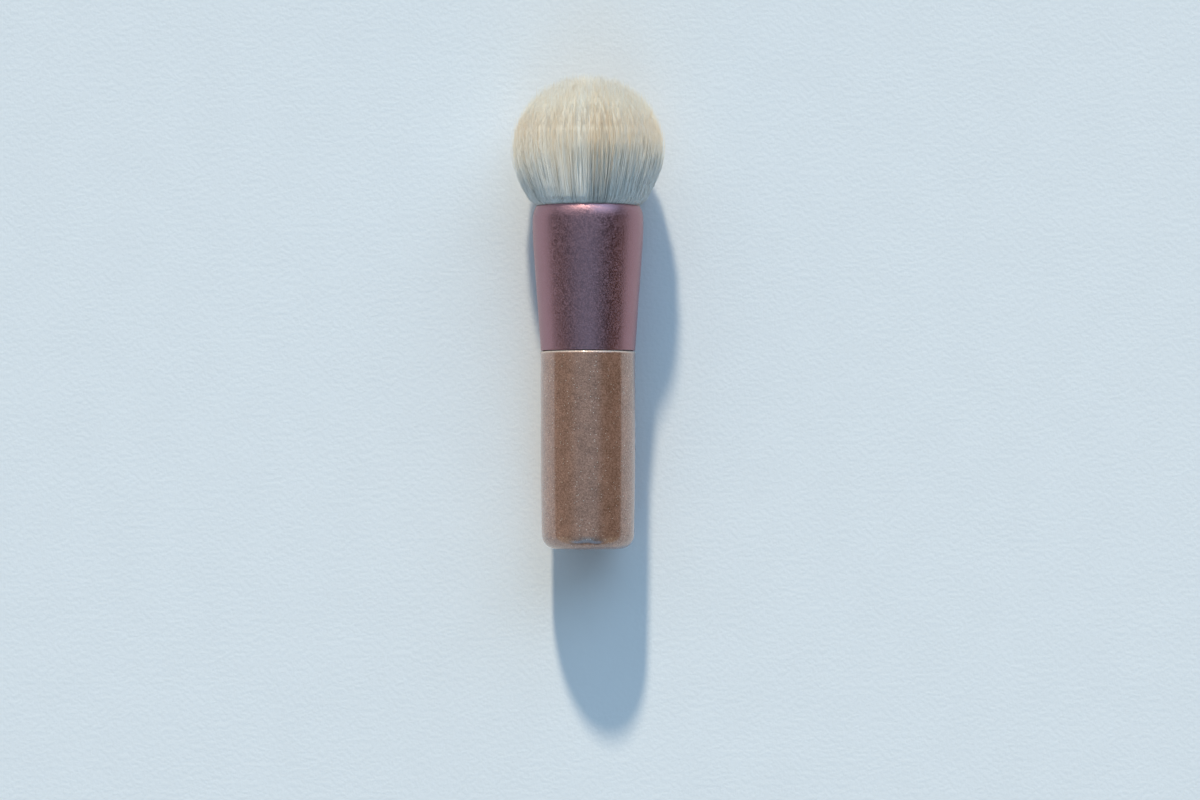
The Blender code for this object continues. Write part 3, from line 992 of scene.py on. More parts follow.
@dataclass
class TuftShape:
    """The flow of the hair: where it runs, where it ends, and how the table presses it."""

    sizes: BrushSizes
    axis: BrushAxis
    length: float = 25.1 * MM  # lip to crown
    widest_radius: float = 14.65 * MM
    widest_height: float = 11.1 * MM  # above the lip
    lip_radius: float = 9.82 * MM  # of the outermost strands, inside the ferrule's lip
    spill_radius: float = 11.25 * MM  # once they have spilled over it
    spill_length: float = 0.4 * MM
    crown_exponent: float = 2.15
    crown_draw: float = 0.06
    press_softness: float = 0.7 * MM
    press_fade: float = 3.0 * MM
    press_above: float = 0.4  # of the radius above the axis, up to where it is pressed
    crest_dip: float = 0.85 * MM  # how much flatter the upper side lies near the lip
    crest_dip_power: float = 0.6
    halvings: int = 30

    @property
    def lip(self) -> float:
        """Place of the ferrule's lip."""
        return self.sizes.lip_place

    @property
    def widest(self) -> float:
        """Place of the widest ring."""
        return self.lip + self.widest_height

    @property
    def crown(self) -> float:
        """Place of the crown."""
        return self.lip + self.length

    def flow_radius(self, place: np.ndarray) -> np.ndarray:
        """Radius of the outermost flow line.

        Past the lip it closes in on the spilled radius as an exponential, and on the
        way to the widest ring it grows with a quarter sine. From there it narrows with
        the square of the share of the way to the crown.
        """
        rise = np.clip((place - self.lip) / (self.widest - self.lip), 0, 1)
        spill = 1 - np.exp(-np.clip(place - self.lip, 0, None) / self.spill_length)
        fall = np.clip((place - self.widest) / (self.crown - self.widest), 0, 1)
        radius = self.lip_radius + (self.spill_radius - self.lip_radius) * spill
        radius = radius + (self.widest_radius - self.spill_radius) * np.sin(QUARTER_TURN * rise)
        return radius * (1 - self.crown_draw * fall**2)

    def crown_radius(self, place: np.ndarray) -> np.ndarray:
        """Radius of the rounded crown, a slightly squared ellipse above the widest ring."""
        share = np.clip((place - self.widest) / (self.crown - self.widest), 0, 1)
        return self.widest_radius * (1 - share**self.crown_exponent) ** (1 / self.crown_exponent)

    def ends(self, share: np.ndarray, inset: float = 0.0) -> np.ndarray:
        """Where each flow line meets the crown, moved down by the inset, found by halving."""
        low = np.full(len(share), self.widest)
        high = np.full(len(share), self.crown)
        for _ in range(self.halvings):
            middle = (low + high) / 2
            is_inside = share * self.flow_radius(middle - inset) < self.crown_radius(middle)
            low = np.where(is_inside, middle, low)
            high = np.where(is_inside, high, middle)
        return low - inset

    def dipped(self, radius: np.ndarray, place: np.ndarray, angle: np.ndarray) -> np.ndarray:
        """The radius, less where the upper side dips near the lip.

        The dip goes as a power of the sine of the place from the lip to the widest ring,
        times the square of the height and the share of the flow's radius.
        """
        rise = np.clip((place - self.lip) / self.widest_height, 0, 1)
        along = np.clip(np.sin(HALF_TURN * rise), 0, None) ** self.crest_dip_power
        height = np.clip(np.sin(angle), 0, None) ** 2
        return radius - self.crest_dip * radius / self.flow_radius(place) * along * height

    def lifted(self, points: np.ndarray, rise: np.ndarray) -> np.ndarray:
        """Points of the brush's frame moved straight up from the table by the rise."""
        lean = self.axis.lean
        return points + rise[..., None] * np.array([0, math.sin(lean), math.cos(lean)])

    def pressed(self, points: np.ndarray, gap: np.ndarray | float) -> np.ndarray:
        """The points, raised where the table presses on the hair.

        A point on the underside rises by the depth that the flow would reach below the
        table there, and one higher up by less, as a square, down to nothing a little
        above the axis. What would still come nearer to the table than the gap is raised
        to it.

        Args:
            points: Points (across, place, up).
            gap: Least height above the table.

        Returns:
            The points, raised.
        """
        lean = self.axis.lean
        place = points[..., 1]
        radius = self.flow_radius(place)
        depth = radius * math.cos(lean) - (self.axis.origin[2] + place * math.sin(lean))
        lift = (depth + np.sqrt(depth**2 + self.press_softness**2)) / 2
        fade = np.clip((place - self.lip) / self.press_fade, 0, 1)
        lift = lift * fade**2 * (3 - 2 * fade)
        below = np.clip(self.press_above - points[..., 2] / radius, 0, None)
        points = self.lifted(points, lift * (below / (1 + self.press_above)) ** 2)
        height = self.axis.world(points)[..., 2]
        return self.lifted(points, np.clip(gap - height, 0, None))


def frames(lines: np.ndarray, angle: np.ndarray, axis: int) -> tuple[np.ndarray, ...]:
    """Directions at each point of hair lines.

    Args:
        lines: Points, by line and by place on the line, or the other way round.
        angle: Angle of each line round the brush's axis.
        axis: The array's axis along which a line runs.

    Returns:
        The outward direction of each line, and for each point the line's direction, the
        outward direction square to it, and the direction square to both.
    """
    way = unit(np.gradient(lines, axis=axis))
    out = np.expand_dims(around(1.0, 0.0, angle), axis)
    first = unit(out - (out * way).sum(axis=2, keepdims=True) * way)
    return out, way, first, np.cross(way, first)


@dataclass
class Hair:
    """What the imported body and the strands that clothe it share."""

    shape: TuftShape
    root_depth: float = 0.9 * MM  # how far the strands reach down into the ferrule
    bound_place: float = 56.0 * MM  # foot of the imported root
    map_head: float = 2.6 * MM  # past the crown, where v is 1 on the UV map
    tilts: tuple[tuple[float, float], ...] = (  # towards the crown, by the height above the lip
        (1 * MM, math.radians(12)),
        (7 * MM, math.radians(15)),
        (12 * MM, math.radians(7)),
        (15.5 * MM, math.radians(-9)),
        (20.5 * MM, math.radians(-1)),
    )
    flank_tilt: float = math.radians(3)  # added at the root away from the crest
    flank_length: float = 12 * MM
    tone_spread: float = 0.12  # of single hairs
    least_tone: float = 0.02
    turn_spread: float = 0.2
    most_turn: float = 0.45
    seed: int = 7

    def height_on_map(self, place: np.ndarray) -> np.ndarray:
        """The place up the hair as the v of the UV map, 0 at its foot and 1 past the crown."""
        return (place - self.bound_place) / (self.shape.crown + self.map_head - self.bound_place)

    def turns(self, rng: np.random.Generator, count: int) -> np.ndarray:
        """How far each of so many hairs is turned about its own line."""
        return np.clip(rng.normal(0, self.turn_spread, count), -self.most_turn, self.most_turn)

    def tones(self, rng: np.random.Generator, tone: np.ndarray, most: float) -> np.ndarray:
        """The tones, each shaken by chance and held between the least one and the most."""
        return np.clip(tone + rng.normal(0, self.tone_spread, len(tone)), self.least_tone, most)

    def tilted(
        self,
        first: np.ndarray,
        way: np.ndarray,
        place: np.ndarray,
        angle: np.ndarray,
        further: np.ndarray | float = 0.0,
    ) -> np.ndarray:
        """The outward direction, tilted towards the crown as the soft hair seems to face.

        The tilt goes by the height above the lip. Away from the crest, by the square of
        what is missing from its height, more is added towards the root.

        Args:
            first: The outward directions.
            way: The directions of the hair.
            place: Place along the axis of each.
            angle: Angle round the axis of each.
            further: Tilt that is added to each.

        Returns:
            One unit vector for each.
        """
        heights, angles = np.array(self.tilts).T
        risen = place - self.shape.lip
        near_root = np.clip(1 - risen / self.flank_length, 0, 1)
        aside = 1 - np.clip(np.sin(angle), 0, 1) ** 2
        tilt = np.interp(risen, heights, angles) + self.flank_tilt * near_root * aside + further
        return first * np.cos(tilt[..., None]) + way * np.sin(tilt[..., None])


@dataclass
class PackedBody(Hair):
    """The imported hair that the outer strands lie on.

    It is a surface of revolution of many narrow columns, which dips and is pressed as
    the strands are. Each column has its own tone and turn, stands in or out by a random
    share of the ridge, and seems rounded as a hair is.
    """

    bound_radius: float = 8.68 * MM  # of the root, where the thread binds it
    bound_length: float = 5.7 * MM
    loose_length: float = 0.5 * MM  # over which it widens above the thread
    packed_radius: float = 9.55 * MM
    share: float = 0.965  # of the flow's radius
    inset: float = 1.0 * MM  # below the crown
    columns: int = 1400
    side_steps: int = 24
    side_crowding: float = 1.4  # how far its rows crowd towards the lip
    top_steps: int = 15
    ridge: float = 0.04 * MM
    ridge_fade: float = 3 * MM  # radius within which the ridges fade out
    press_gap: float = 0.1 * MM
    tone_drop: float = 0.03  # painted shade: how much darker it is than the strands that lie over it
    most_tone: float = 0.97
    strip: float = 0.002  # width of a column on the UV map
    softness: float = math.radians(16)
    rim_outward: float = 3.0  # how far the crown's rim seems to face away from the axis
    middle_outward: float = 0.5  # and the crown's middle
    middle_shares: tuple[float, float] = (0.7, 0.3)  # of its radius, where the middle sets in
    middle_noise: float = 0.12  # in share, from column to column
    middle_height: float = 0.998  # of the middle on the UV map, where the crown's painted shade is

    def profile(self) -> tuple[np.ndarray, int]:
        """The body's outline, and the number of its rows below the crown.

        From the bound root up to the lip, then along a flow line at the body's share,
        and then over the crown set in by the inset.
        """
        shape = self.shape
        meeting = shape.ends(np.array([self.share]), self.inset)[0]
        above, mouth = self.bound_place + self.bound_length, shape.lip - self.root_depth
        bound_start, bound_end = (self.bound_place, self.bound_radius), (above, self.bound_radius)
        packed_start = (above + self.loose_length, self.packed_radius)
        bound = line(bound_start, bound_end, steps=4)
        packed = line(packed_start, (mouth, self.packed_radius), steps=3)[:-1]
        risen = np.linspace(0, 1, self.side_steps) ** self.side_crowding
        side = np.concatenate([[mouth], shape.lip + risen * (meeting - shape.lip)])
        top_angle = np.linspace(0, QUARTER_TURN, self.top_steps)[1:-1]
        top = meeting + (shape.crown - self.inset - meeting) * np.sin(top_angle)
        side_rows = np.stack([side, self.share * shape.flow_radius(side)], axis=1)
        top_rows = np.stack([top, shape.crown_radius(top + self.inset)], axis=1)
        rows = np.vstack([bound, packed, side_rows, top_rows])
        return rows, len(rows) - len(top_rows)

    def middle(self, profile: np.ndarray, side_rows: int, noise: np.ndarray | float) -> np.ndarray:
        """How far each row belongs to the middle of the crown.

        Args:
            profile: The body's outline.
            side_rows: Number of its rows below the crown.
            noise: Shift in share for each column, or for all of them.

        Returns:
            A share for each row and column, 0 at the rim and below it.
        """
        share = (profile[:, 1] / profile[side_rows - 1, 1])[:, None]
        outer, inner = self.middle_shares
        middle = np.clip((outer + noise - share) / (outer - inner), 0, 1)
        return middle * (np.arange(len(profile)) >= side_rows)[:, None]

    def surface(self, toning: Toning) -> Surface:
        """The body's mesh, with its tones on the UV map."""
        shape, rng = self.shape, np.random.default_rng(self.seed + 1)
        profile, side_rows = self.profile()
        place, rows = profile[:, :1], len(profile)
        angle = np.arange(self.columns) * FULL_TURN / self.columns
        radius = shape.dipped(np.repeat(profile[:, 1:], self.columns, axis=1), place, angle)
        ridge = self.ridge * rng.uniform(-1, 1, self.columns)
        radius = radius + ridge * np.clip(radius / self.ridge_fade, 0, 1)
        grid = shape.pressed(around(radius, place, angle), self.press_gap)
        ends = [[0, place[0, 0], 0], [0, shape.crown - self.inset, 0]]
        points = shape.axis.world(np.vstack([grid.reshape(-1, 3), ends]))
        faces = listed(grid_quads(rows, self.columns), end_fans(rows, self.columns))
        tone = toning.at(angle, np.full(self.columns, self.share)) - self.tone_drop
        tone = self.tones(rng, tone, self.most_tone)
        noise = np.random.default_rng(self.seed + 3).normal(0, self.middle_noise, self.columns)
        height = self.height_on_map(place)
        shaded = self.middle(profile, side_rows, noise)
        # the crown's middle is moved to the painted shade at the top of the UV map
        chart = self.chart(tone, height + (self.middle_height - height) * shaded)
        middle = self.middle(profile, side_rows, 0.0)
        turn = self.turns(rng, self.columns)
        normals = self.facing(grid, angle, turn, place, side_rows, middle)
        return Surface(points, *faces, chart, normals)

    def chart(self, tone: np.ndarray, height: np.ndarray) -> np.ndarray:
        """The UV map: a narrow strip at its tone for each column.

        Args:
            tone: The tone of each column.
            height: The v of each row and column.

        Returns:
            One (u, v) for each corner.
        """
        strip, half, foot, head = self.strip, self.strip / 2, height[0], height[-1]
        grid = grid_chart(tone, tone + strip, height[:-1], height[1:])
        lower = [tone + half, foot, tone, foot + strip, tone + strip, foot + strip]
        upper = [tone + half, head + half, tone + strip, head, tone, head]
        return np.vstack([grid, *(np.stack(fan, axis=1).reshape(-1, 2) for fan in (lower, upper))])

    def facing(
        self,
        grid: np.ndarray,
        angle: np.ndarray,
        turn: np.ndarray,
        place: np.ndarray,
        side_rows: int,
        middle: np.ndarray,
    ) -> np.ndarray:
        """The way that each corner seems to face, in the order of the corners.

        On the side that is square to the column, tilted as the strands are. Over the
        crown it is square to the column, drawn away from the axis, and less so in the
        middle. A column's two edges turn away from each other by the softness.

        Args:
            grid: Points of the body, by row and column.
            angle: Angle of each column round the axis.
            turn: Turn of each column about its own line.
            place: Place of each row along the axis.
            side_rows: Number of rows below the crown.
            middle: How far each row belongs to the middle of the crown.

        Returns:
            One unit vector for each corner, in the row frame.
        """
        out, way, first, second = frames(grid, angle, 0)
        is_side = (np.arange(len(grid)) < side_rows)[:, None, None]
        outward = self.rim_outward + (self.middle_outward - self.rim_outward) * middle
        tilted = self.tilted(first, way, place, angle[None])
        seeming = unit(np.where(is_side, tilted, first + outward[:, :, None] * out))
        left, right = (turn[:, None] + side * self.softness for side in (1, -1))
        left, right = (seeming * np.cos(side) + second * np.sin(side) for side in (left, right))
        quads = np.stack([left[:-1], left[1:], right[1:], right[:-1]], axis=2)
        ends = np.repeat([[0.0, -1.0, 0.0], [0.0, 1.0, 0.0]], 3 * len(angle), axis=0)
        return self.shape.axis.turned(np.vstack([quads.reshape(-1, 3), ends]))


@dataclass(frozen=True)
class Disorder:
    """How far strands stray. Lengths are in millimetres.

    A field's weight is for the part in which neighbours go together. A spread is that of
    a normal draw, and a mean that of an exponential one.
    """

    shake: float = 0.5  # of the spacing in the layout
    side_shake: float = 0.01  # angle
    loose_share: float = 0.07  # of the strands
    looseness: float = 2.8  # how much further those stray
    end_waves: Waves = (10, 10, 60)
    side_waves: Waves = (8, 20, 90)  # of sway and of lift
    end_weight: float = 0.2
    end_mean: float = 0.5
    end_most: float = 2.2
    end_shift: float = -0.6
    sway_weight: float = 0.12
    sway_spread: float = 0.16
    lift_weight: float = 0.06
    lift_mean: float = 0.22
    lift_shift: float = -0.2
    lift_most: float = 1.1
    bow_spread: float = 0.08
    bulge_mean: float = 0.1
    bulge_most: float = 0.8
    bulge_shift: float = -0.12
    gap: float = 0.07  # least height above the table
    gap_spread: float = 0.12
    power: float = 1.3  # of the way up, with which sway and lift grow


@dataclass
class Clothing(Hair):
    """Thousands of tapered strands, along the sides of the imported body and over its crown."""

    disorder: Disorder = Disorder()
    side_share: float = 0.955  # of the flow's radius, from which the side strands stand
    crown_share: float = 0.962  # up to which the crown strands stand
    least_share: float = 0.002
    most_tone: float = 0.98
    radius: float = 0.04 * MM
    root_radius: float = 0.032 * MM
    root_length: float = 6 * MM  # above the lip
    tip_radius: float = 0.008 * MM
    taper_length: float = 5.0 * MM
    crown_foot_radius: float = 0.085 * MM  # of the crown's strands, away from its rim
    crown_foot_share: float = 0.8  # at which they start to be fuller
    crown_foot_fade: float = 0.3  # in share, over which they get fuller
    crown_slim_length: float = 0.7 * MM  # from the tip to where they thicken
    crown_tilt: float = math.radians(20)  # added at the middle of the crown
    crown_tilt_share: float = 0.45  # at which it is gone
    strip: float = 0.0012  # width of a tube's side on the UV map
    softness: float = math.radians(38)  # how far a strand's outer face seems to be rounded
    back_angles: tuple[float, float] = (math.radians(75), math.radians(150))  # of its other faces

    def layout(self, toning: Toning) -> dict[Layer, Strands]:
        """The strands of each layer, with their differences.

        Each angle is a golden turn from the last, shaken a little. The crown's strands
        are spread as seeds of a sunflower, where the share of the radius is the root of
        the share of the count, and the side's stand at random within their ring. How
        much longer or further out a strand is goes as an exponential draw, so that the
        outline thins out softly.
        """
        rng, stray = np.random.default_rng(self.seed + 2), self.disorder
        end_field = Field.drawn(rng, *stray.end_waves)
        sway_field, lift_field = (Field.drawn(rng, *stray.side_waves) for _ in range(2))
        made = {}
        for layer in Layer:
            count = layer.value.crowd
            spacing = 1 / math.sqrt(count)
            share = np.sqrt((np.arange(count) + 0.5) / count)
            angle = np.arange(count) * GOLDEN_TURN % FULL_TURN
            angle = angle + rng.normal(0, stray.shake * spacing, count) / np.maximum(share, spacing)
            share = share + rng.normal(0, stray.shake * spacing, count)
            share = self.crown_share * np.clip(share, self.least_share, 1)
            if layer is Layer.SIDE:
                share = rng.uniform(self.side_share, 1, count)
                angle = angle + rng.normal(0, stray.side_shake, count)
            loose = np.where(rng.random(count) < stray.loose_share, stray.looseness, 1.0)
            ends = rng.exponential(stray.end_mean, count) * np.sqrt(loose)
            ends = np.minimum(ends, stray.end_most) + stray.end_shift
            ends = stray.end_weight * end_field.at(angle, share) + ends
            tip = self.shape.ends(share) + ends * MM
            sway = rng.normal(0, stray.sway_spread, count) * np.sqrt(loose)
            lift = rng.exponential(stray.lift_mean, count) * loose
            lift = stray.lift_weight * lift_field.at(angle, share) + lift + stray.lift_shift
            tone = self.tones(rng, toning.at(angle, share), self.most_tone)
            bow = rng.normal(0, stray.bow_spread, count) * np.sqrt(loose)
            bulge = np.minimum(rng.exponential(stray.bulge_mean, count) * loose, stray.bulge_most)
            made[layer] = Strands(
                share=share,
                angle=angle,
                tone=tone,
                tip=tip,
                foot=np.maximum(self.shape.lip - self.root_depth, tip - layer.value.drawn_length),
                sway=(stray.sway_weight * sway_field.at(angle, share) + sway) * MM,
                lift=np.minimum(lift, stray.lift_most) * MM,
                bow=bow * MM,
                bulge=(bulge + stray.bulge_shift) * MM,
                turn=self.turns(rng, count),
            )
        return made

    def middles(self, strands: Strands, step: np.ndarray) -> np.ndarray:
        """Middle lines of the strands, with one point for each ring and one for the tip.

        A strand follows its flow line from its foot to its tip. Its sway round the axis
        and its lift away from it grow with a power of the way, and its bow aside and its
        bulge outwards go as half a sine.
        """
        shape, stray, turn = self.shape, self.disorder, strands.angle[:, None]
        place = strands.foot[:, None] + step * (strands.tip - strands.foot)[:, None]
        way = np.clip((place - shape.lip) / (strands.tip - shape.lip)[:, None], 0, 1)
        arch = np.sin(HALF_TURN * way)
        radius = shape.dipped(strands.share[:, None] * shape.flow_radius(place), place, turn)
        radius = radius + strands.lift[:, None] * way**stray.power + strands.bulge[:, None] * arch
        aside = strands.sway[:, None] * way**stray.power + strands.bow[:, None] * arch
        across = radius * np.cos(turn) - aside * np.sin(turn)
        up = radius * np.sin(turn) + aside * np.cos(turn)
        gap = (stray.gap + stray.gap_spread * strands.tone[:, None]) * MM
        return shape.pressed(np.stack([across, place, up], axis=2), gap)

    def widths(self, strands: Strands, place: np.ndarray, layer: Layer) -> np.ndarray:
        """The radius of each ring.

        It is the full one times the square root of the way back from the tip over the
        taper's length, it thins towards the root, and it is never under the tip's. Away
        from its rim the crown's strands are fuller at the foot, so that they close up
        when they are seen end on.

        Args:
            strands: The strands.
            place: Place along the axis of each ring.
            layer: The strands' layer.

        Returns:
            A radius for each strand and ring.
        """
        back = strands.tip[:, None] - place
        risen = np.clip((place - self.shape.lip) / self.root_length, 0, 1)
        full = self.root_radius + (self.radius - self.root_radius) * risen
        width = full * np.sqrt(np.clip(back / self.taper_length, 0, 1))
        width = np.maximum(width, self.tip_radius)
        if layer is Layer.SIDE:
            return width
        slim = self.crown_slim_length
        depth = np.clip((back - slim) / (layer.value.drawn_length - slim), 0, 1)
        inner = np.clip((self.crown_foot_share - strands.share) / self.crown_foot_fade, 0, 1)
        return np.maximum(width, self.crown_foot_radius * depth * inner[:, None])

    def tubes(self, strands: Strands, layer: Layer) -> Surface:
        """Closed tapered tubes of three sides round the middle lines, one side outwards.

        Each ring stands square to the line. On the UV map u is the strand's tone and v
        its place up the hair.
        """
        lines = self.middles(strands, layer.value.steps)
        number, rings = len(lines), lines.shape[1] - 1
        _, way, first, second = frames(lines, strands.angle, 1)
        width = self.widths(strands, lines[:, :-1, 1], layer)[:, :, None, None]
        side = np.arange(TUBE_SIDES)
        corner = (FULL_TURN * (side / TUBE_SIDES - 0.5 / TUBE_SIDES))[:, None]
        spoke = first[:, :-1, None] * np.cos(corner) + second[:, :-1, None] * np.sin(corner)
        loops = (lines[:, :-1, None] + width * spoke).reshape(number, -1, 3)
        points = np.concatenate([loops, lines[:, -1:]], axis=1)
        each = points.shape[1]
        base = np.arange(number)[:, None, None] * each
        after = (side + 1) % TUBE_SIDES
        lower = base + np.arange(rings - 1)[:, None] * TUBE_SIDES
        upper = lower + TUBE_SIDES
        quads = np.stack([lower + side, lower + after, upper + after, upper + side], axis=3)
        base = base[:, 0]
        last = base + (rings - 1) * TUBE_SIDES
        tips = np.stack([last + side, last + after, base + each - 1 + 0 * side], axis=2)
        feet = base + np.array([0, 2, 1])
        chart = self.chart(strands.tone, self.height_on_map(lines[:, :, 1]))
        middle = np.clip(1 - strands.share / self.crown_tilt_share, 0, 1)[:, None]
        angle, further = strands.angle[:, None], self.crown_tilt * middle
        seeming = self.tilted(first, way, lines[:, :, 1], angle, further)
        normals = self.facing(strands.turn, way, seeming, second)
        points = self.shape.axis.world(points.reshape(-1, 3))
        return Surface(points, *listed(quads, tips, feet), chart, normals)

    def chart(self, tone: np.ndarray, height: np.ndarray) -> np.ndarray:
        """The UV map of the tubes, in the order of their corners.

        Args:
            tone: The tone of each strand.
            height: The place up the hair of each ring and tip.

        Returns:
            One (u, v) for each corner: the three sides stand side by side at the tone.
        """
        strip, tip = self.strip, height[:, -1:]
        left = tone[:, None] + (np.arange(TUBE_SIDES) - TUBE_SIDES / 2) * strip
        right, last, foot = left + strip, height[:, -2:-1], height[:, 0]
        edges = left[:, None], right[:, None], height[:, :-2, None], height[:, 1:-1, None]
        left_edge, right_edge, low, high = np.broadcast_arrays(*edges)
        quads = [left_edge, low, right_edge, low, right_edge, high, left_edge, high]
        tips = np.broadcast_arrays(left, last, right, last, (left + right) / 2, tip)
        feet = [tone, foot, tone + strip / 2, foot + strip, tone + strip, foot]
        return np.vstack([np.stack(part, axis=-1).reshape(-1, 2) for part in (quads, tips, feet)])

    def facing(
        self, turn: np.ndarray, way: np.ndarray, first: np.ndarray, second: np.ndarray
    ) -> np.ndarray:
        """The way that each corner of the tubes seems to face, in the order of the corners.

        A tube's outer face seems rounded by the softness to either side, and turned by
        the strand's own turn. The two inner faces run on round the back from there.

        Args:
            turn: The turn of each strand about its own line.
            way: Direction of the line at each ring and at the tip.
            first: The outward direction there.
            second: The direction square to both.

        Returns:
            One unit vector for each corner, in the row frame.
        """
        beside, behind = self.back_angles
        angle = np.array([[-self.softness, self.softness], [beside, behind], [-behind, -beside]])
        angle = angle + turn[:, None, None] * np.array([1.0, 0.0, 0.0])[:, None]
        spread = np.cos(angle), np.sin(angle)

        def faced(level: slice, which: list[int]) -> np.ndarray:
            """The directions at some rings, on some edges of each of the three faces."""
            across, up = (part[:, None][..., which, None] for part in spread)
            return first[:, level, None, None] * across + second[:, level, None, None] * up

        low, high = faced(slice(0, -2), [0, 1]), faced(slice(1, -1), [1, 0])
        last, tip = faced(slice(-2, -1), [0, 1]), faced(slice(-1, None), [0])
        quads, tips = np.concatenate([low, high], axis=3), np.concatenate([last, tip], axis=3)
        feet = np.repeat(-way[:, :1], 3, axis=1)
        normals = np.concatenate([part.reshape(-1, 3) for part in (quads, tips, feet)])
        return self.shape.axis.turned(normals)


@dataclass
class HairTuft:
    """The bundle of hair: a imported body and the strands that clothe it."""

    shape: TuftShape
    sectors: int = 6
    broad: tuple[float, Waves] = (0.045, (10, 5, 26))  # streaks, with their weight
    middling: tuple[float, Waves] = (0.05, (12, 30, 100))
    fine: tuple[float, Waves] = (0.085, (14, 130, 300))
    locks: tuple[Lock, ...] = (
        Lock(math.radians(76), math.radians(11), -0.24),
        Lock(math.radians(128), math.radians(9), 0.16),
        Lock(math.radians(97), math.radians(4), 0.16),
        # painted light: paler locks on both flanks, where the hair lies in shade
        Lock(math.radians(2), math.radians(32), 0.2),
        Lock(math.radians(178), math.radians(32), 0.2),
    )

    def sector_of(self, angle: np.ndarray) -> np.ndarray:
        """The number of the sector that each angle lies in, counted from the table up."""
        turn = (angle + QUARTER_TURN) / (FULL_TURN / self.sectors)
        return np.round(turn).astype(int) % self.sectors

    def build(self) -> list[bpy.types.Object]:
        """The body and the locks of hair, one for each sector and layer, in their finish."""
        finish, clothing = GoatHair().material(), Clothing(self.shape)
        rng, streaks = np.random.default_rng(clothing.seed), [self.broad, self.middling, self.fine]
        toning = Toning.drawn(rng, dict(streaks), self.locks)
        nodes = [f"hair_slice_{number + 1}" for number in range(self.sectors)]
        body = PackedBody(self.shape).surface(toning)
        made = [body.piece("hair_body", finish, "hair", *nodes)]
        for layer, strands in clothing.layout(toning).items():
            sector = self.sector_of(strands.angle)
            for number, node in enumerate(nodes):
                name = f"hair_{layer.name.lower()}_{number + 1}"
                tubes = clothing.tubes(strands.chosen(sector == number), layer)
                made.append(tubes.piece(name, finish, "hair", node))
        return made


@dataclass
class HiddenParts:
    """What holds the brush together inside the ferrule, kept as the frame has it."""

    glue_nodes: tuple[str, ...] = ("handle_glue_ring", "root_glue_plug")
    thread_node: str = "root_binding"

    def dress(self, nodes: dict[str, bpy.types.Object]) -> None:
        """Gives the carried-over nodes their finishes."""
        glue = Adhesive().material()
        for name in self.glue_nodes:
            self.wear(nodes[name], glue, "adhesive")
        self.wear(nodes[self.thread_node], Thread().material(), "thread")

    @staticmethod
    def wear(node: bpy.types.Object, finish: bpy.types.Material, slot: str) -> None:
        """Puts a finish on every slot of a node."""
        for place in node.material_slots:
            place.material = finish
        if not node.material_slots:
            node.data.materials.append(finish)
        LOG.info("%s: dressed", node.name)


# The stage


@dataclass
class Table:
    """The pale table top that the brush lies on."""

    radius: float = 4.5
    rings: int = 6
    sides: int = 96

    def build(self) -> bpy.types.Object:
        """A flat disc whose rings grow with the square of their number, as a stage object."""
        radius = self.radius * np.linspace(0, 1, self.rings + 1)[1:, None] ** 2
        column = np.arange(self.sides)
        flat = around(radius, 0.0, column * FULL_TURN / self.sides)[..., [0, 2, 1]]
        points = np.vstack([np.zeros((1, 3)), flat.reshape(-1, 3)])
        middle = np.stack([0 * column, 1 + column, 1 + (column + 1) % self.sides], axis=1)
        quads = grid_quads(self.rings, self.sides).reshape(-1, 4) + 1
        mesh = bpy.data.meshes.new("table_top")
        mesh.from_pydata(points.tolist(), [], middle.tolist() + quads.tolist())
        mesh.materials.append(PaleTable().material())
        made = bpy.data.objects.new("table_top", mesh)
        bpy.context.scene.collection.objects.link(made)
        return made


@dataclass(frozen=True)
class Glow:
    """A soft bright patch of the room, as a window gives. Its angles are in degrees."""

    azimuth: float  # from +Y towards +X
    elevation: float
    inner: float  # from its middle out to which it is even
    outer: float  # from its middle at which it is gone
    radiance: Colour

    @property
    def way(self) -> tuple[float, float, float]:
        """Direction of its middle."""
        aside, up = math.radians(self.azimuth), math.radians(self.elevation)
        return (math.cos(up) * math.sin(aside), math.cos(up) * math.cos(aside), math.sin(up))

    @property
    def edges(self) -> tuple[float, float]:
        """Cosines of the angles at which it is gone and is whole."""
        return math.cos(math.radians(self.outer)), math.cos(math.radians(self.inner))


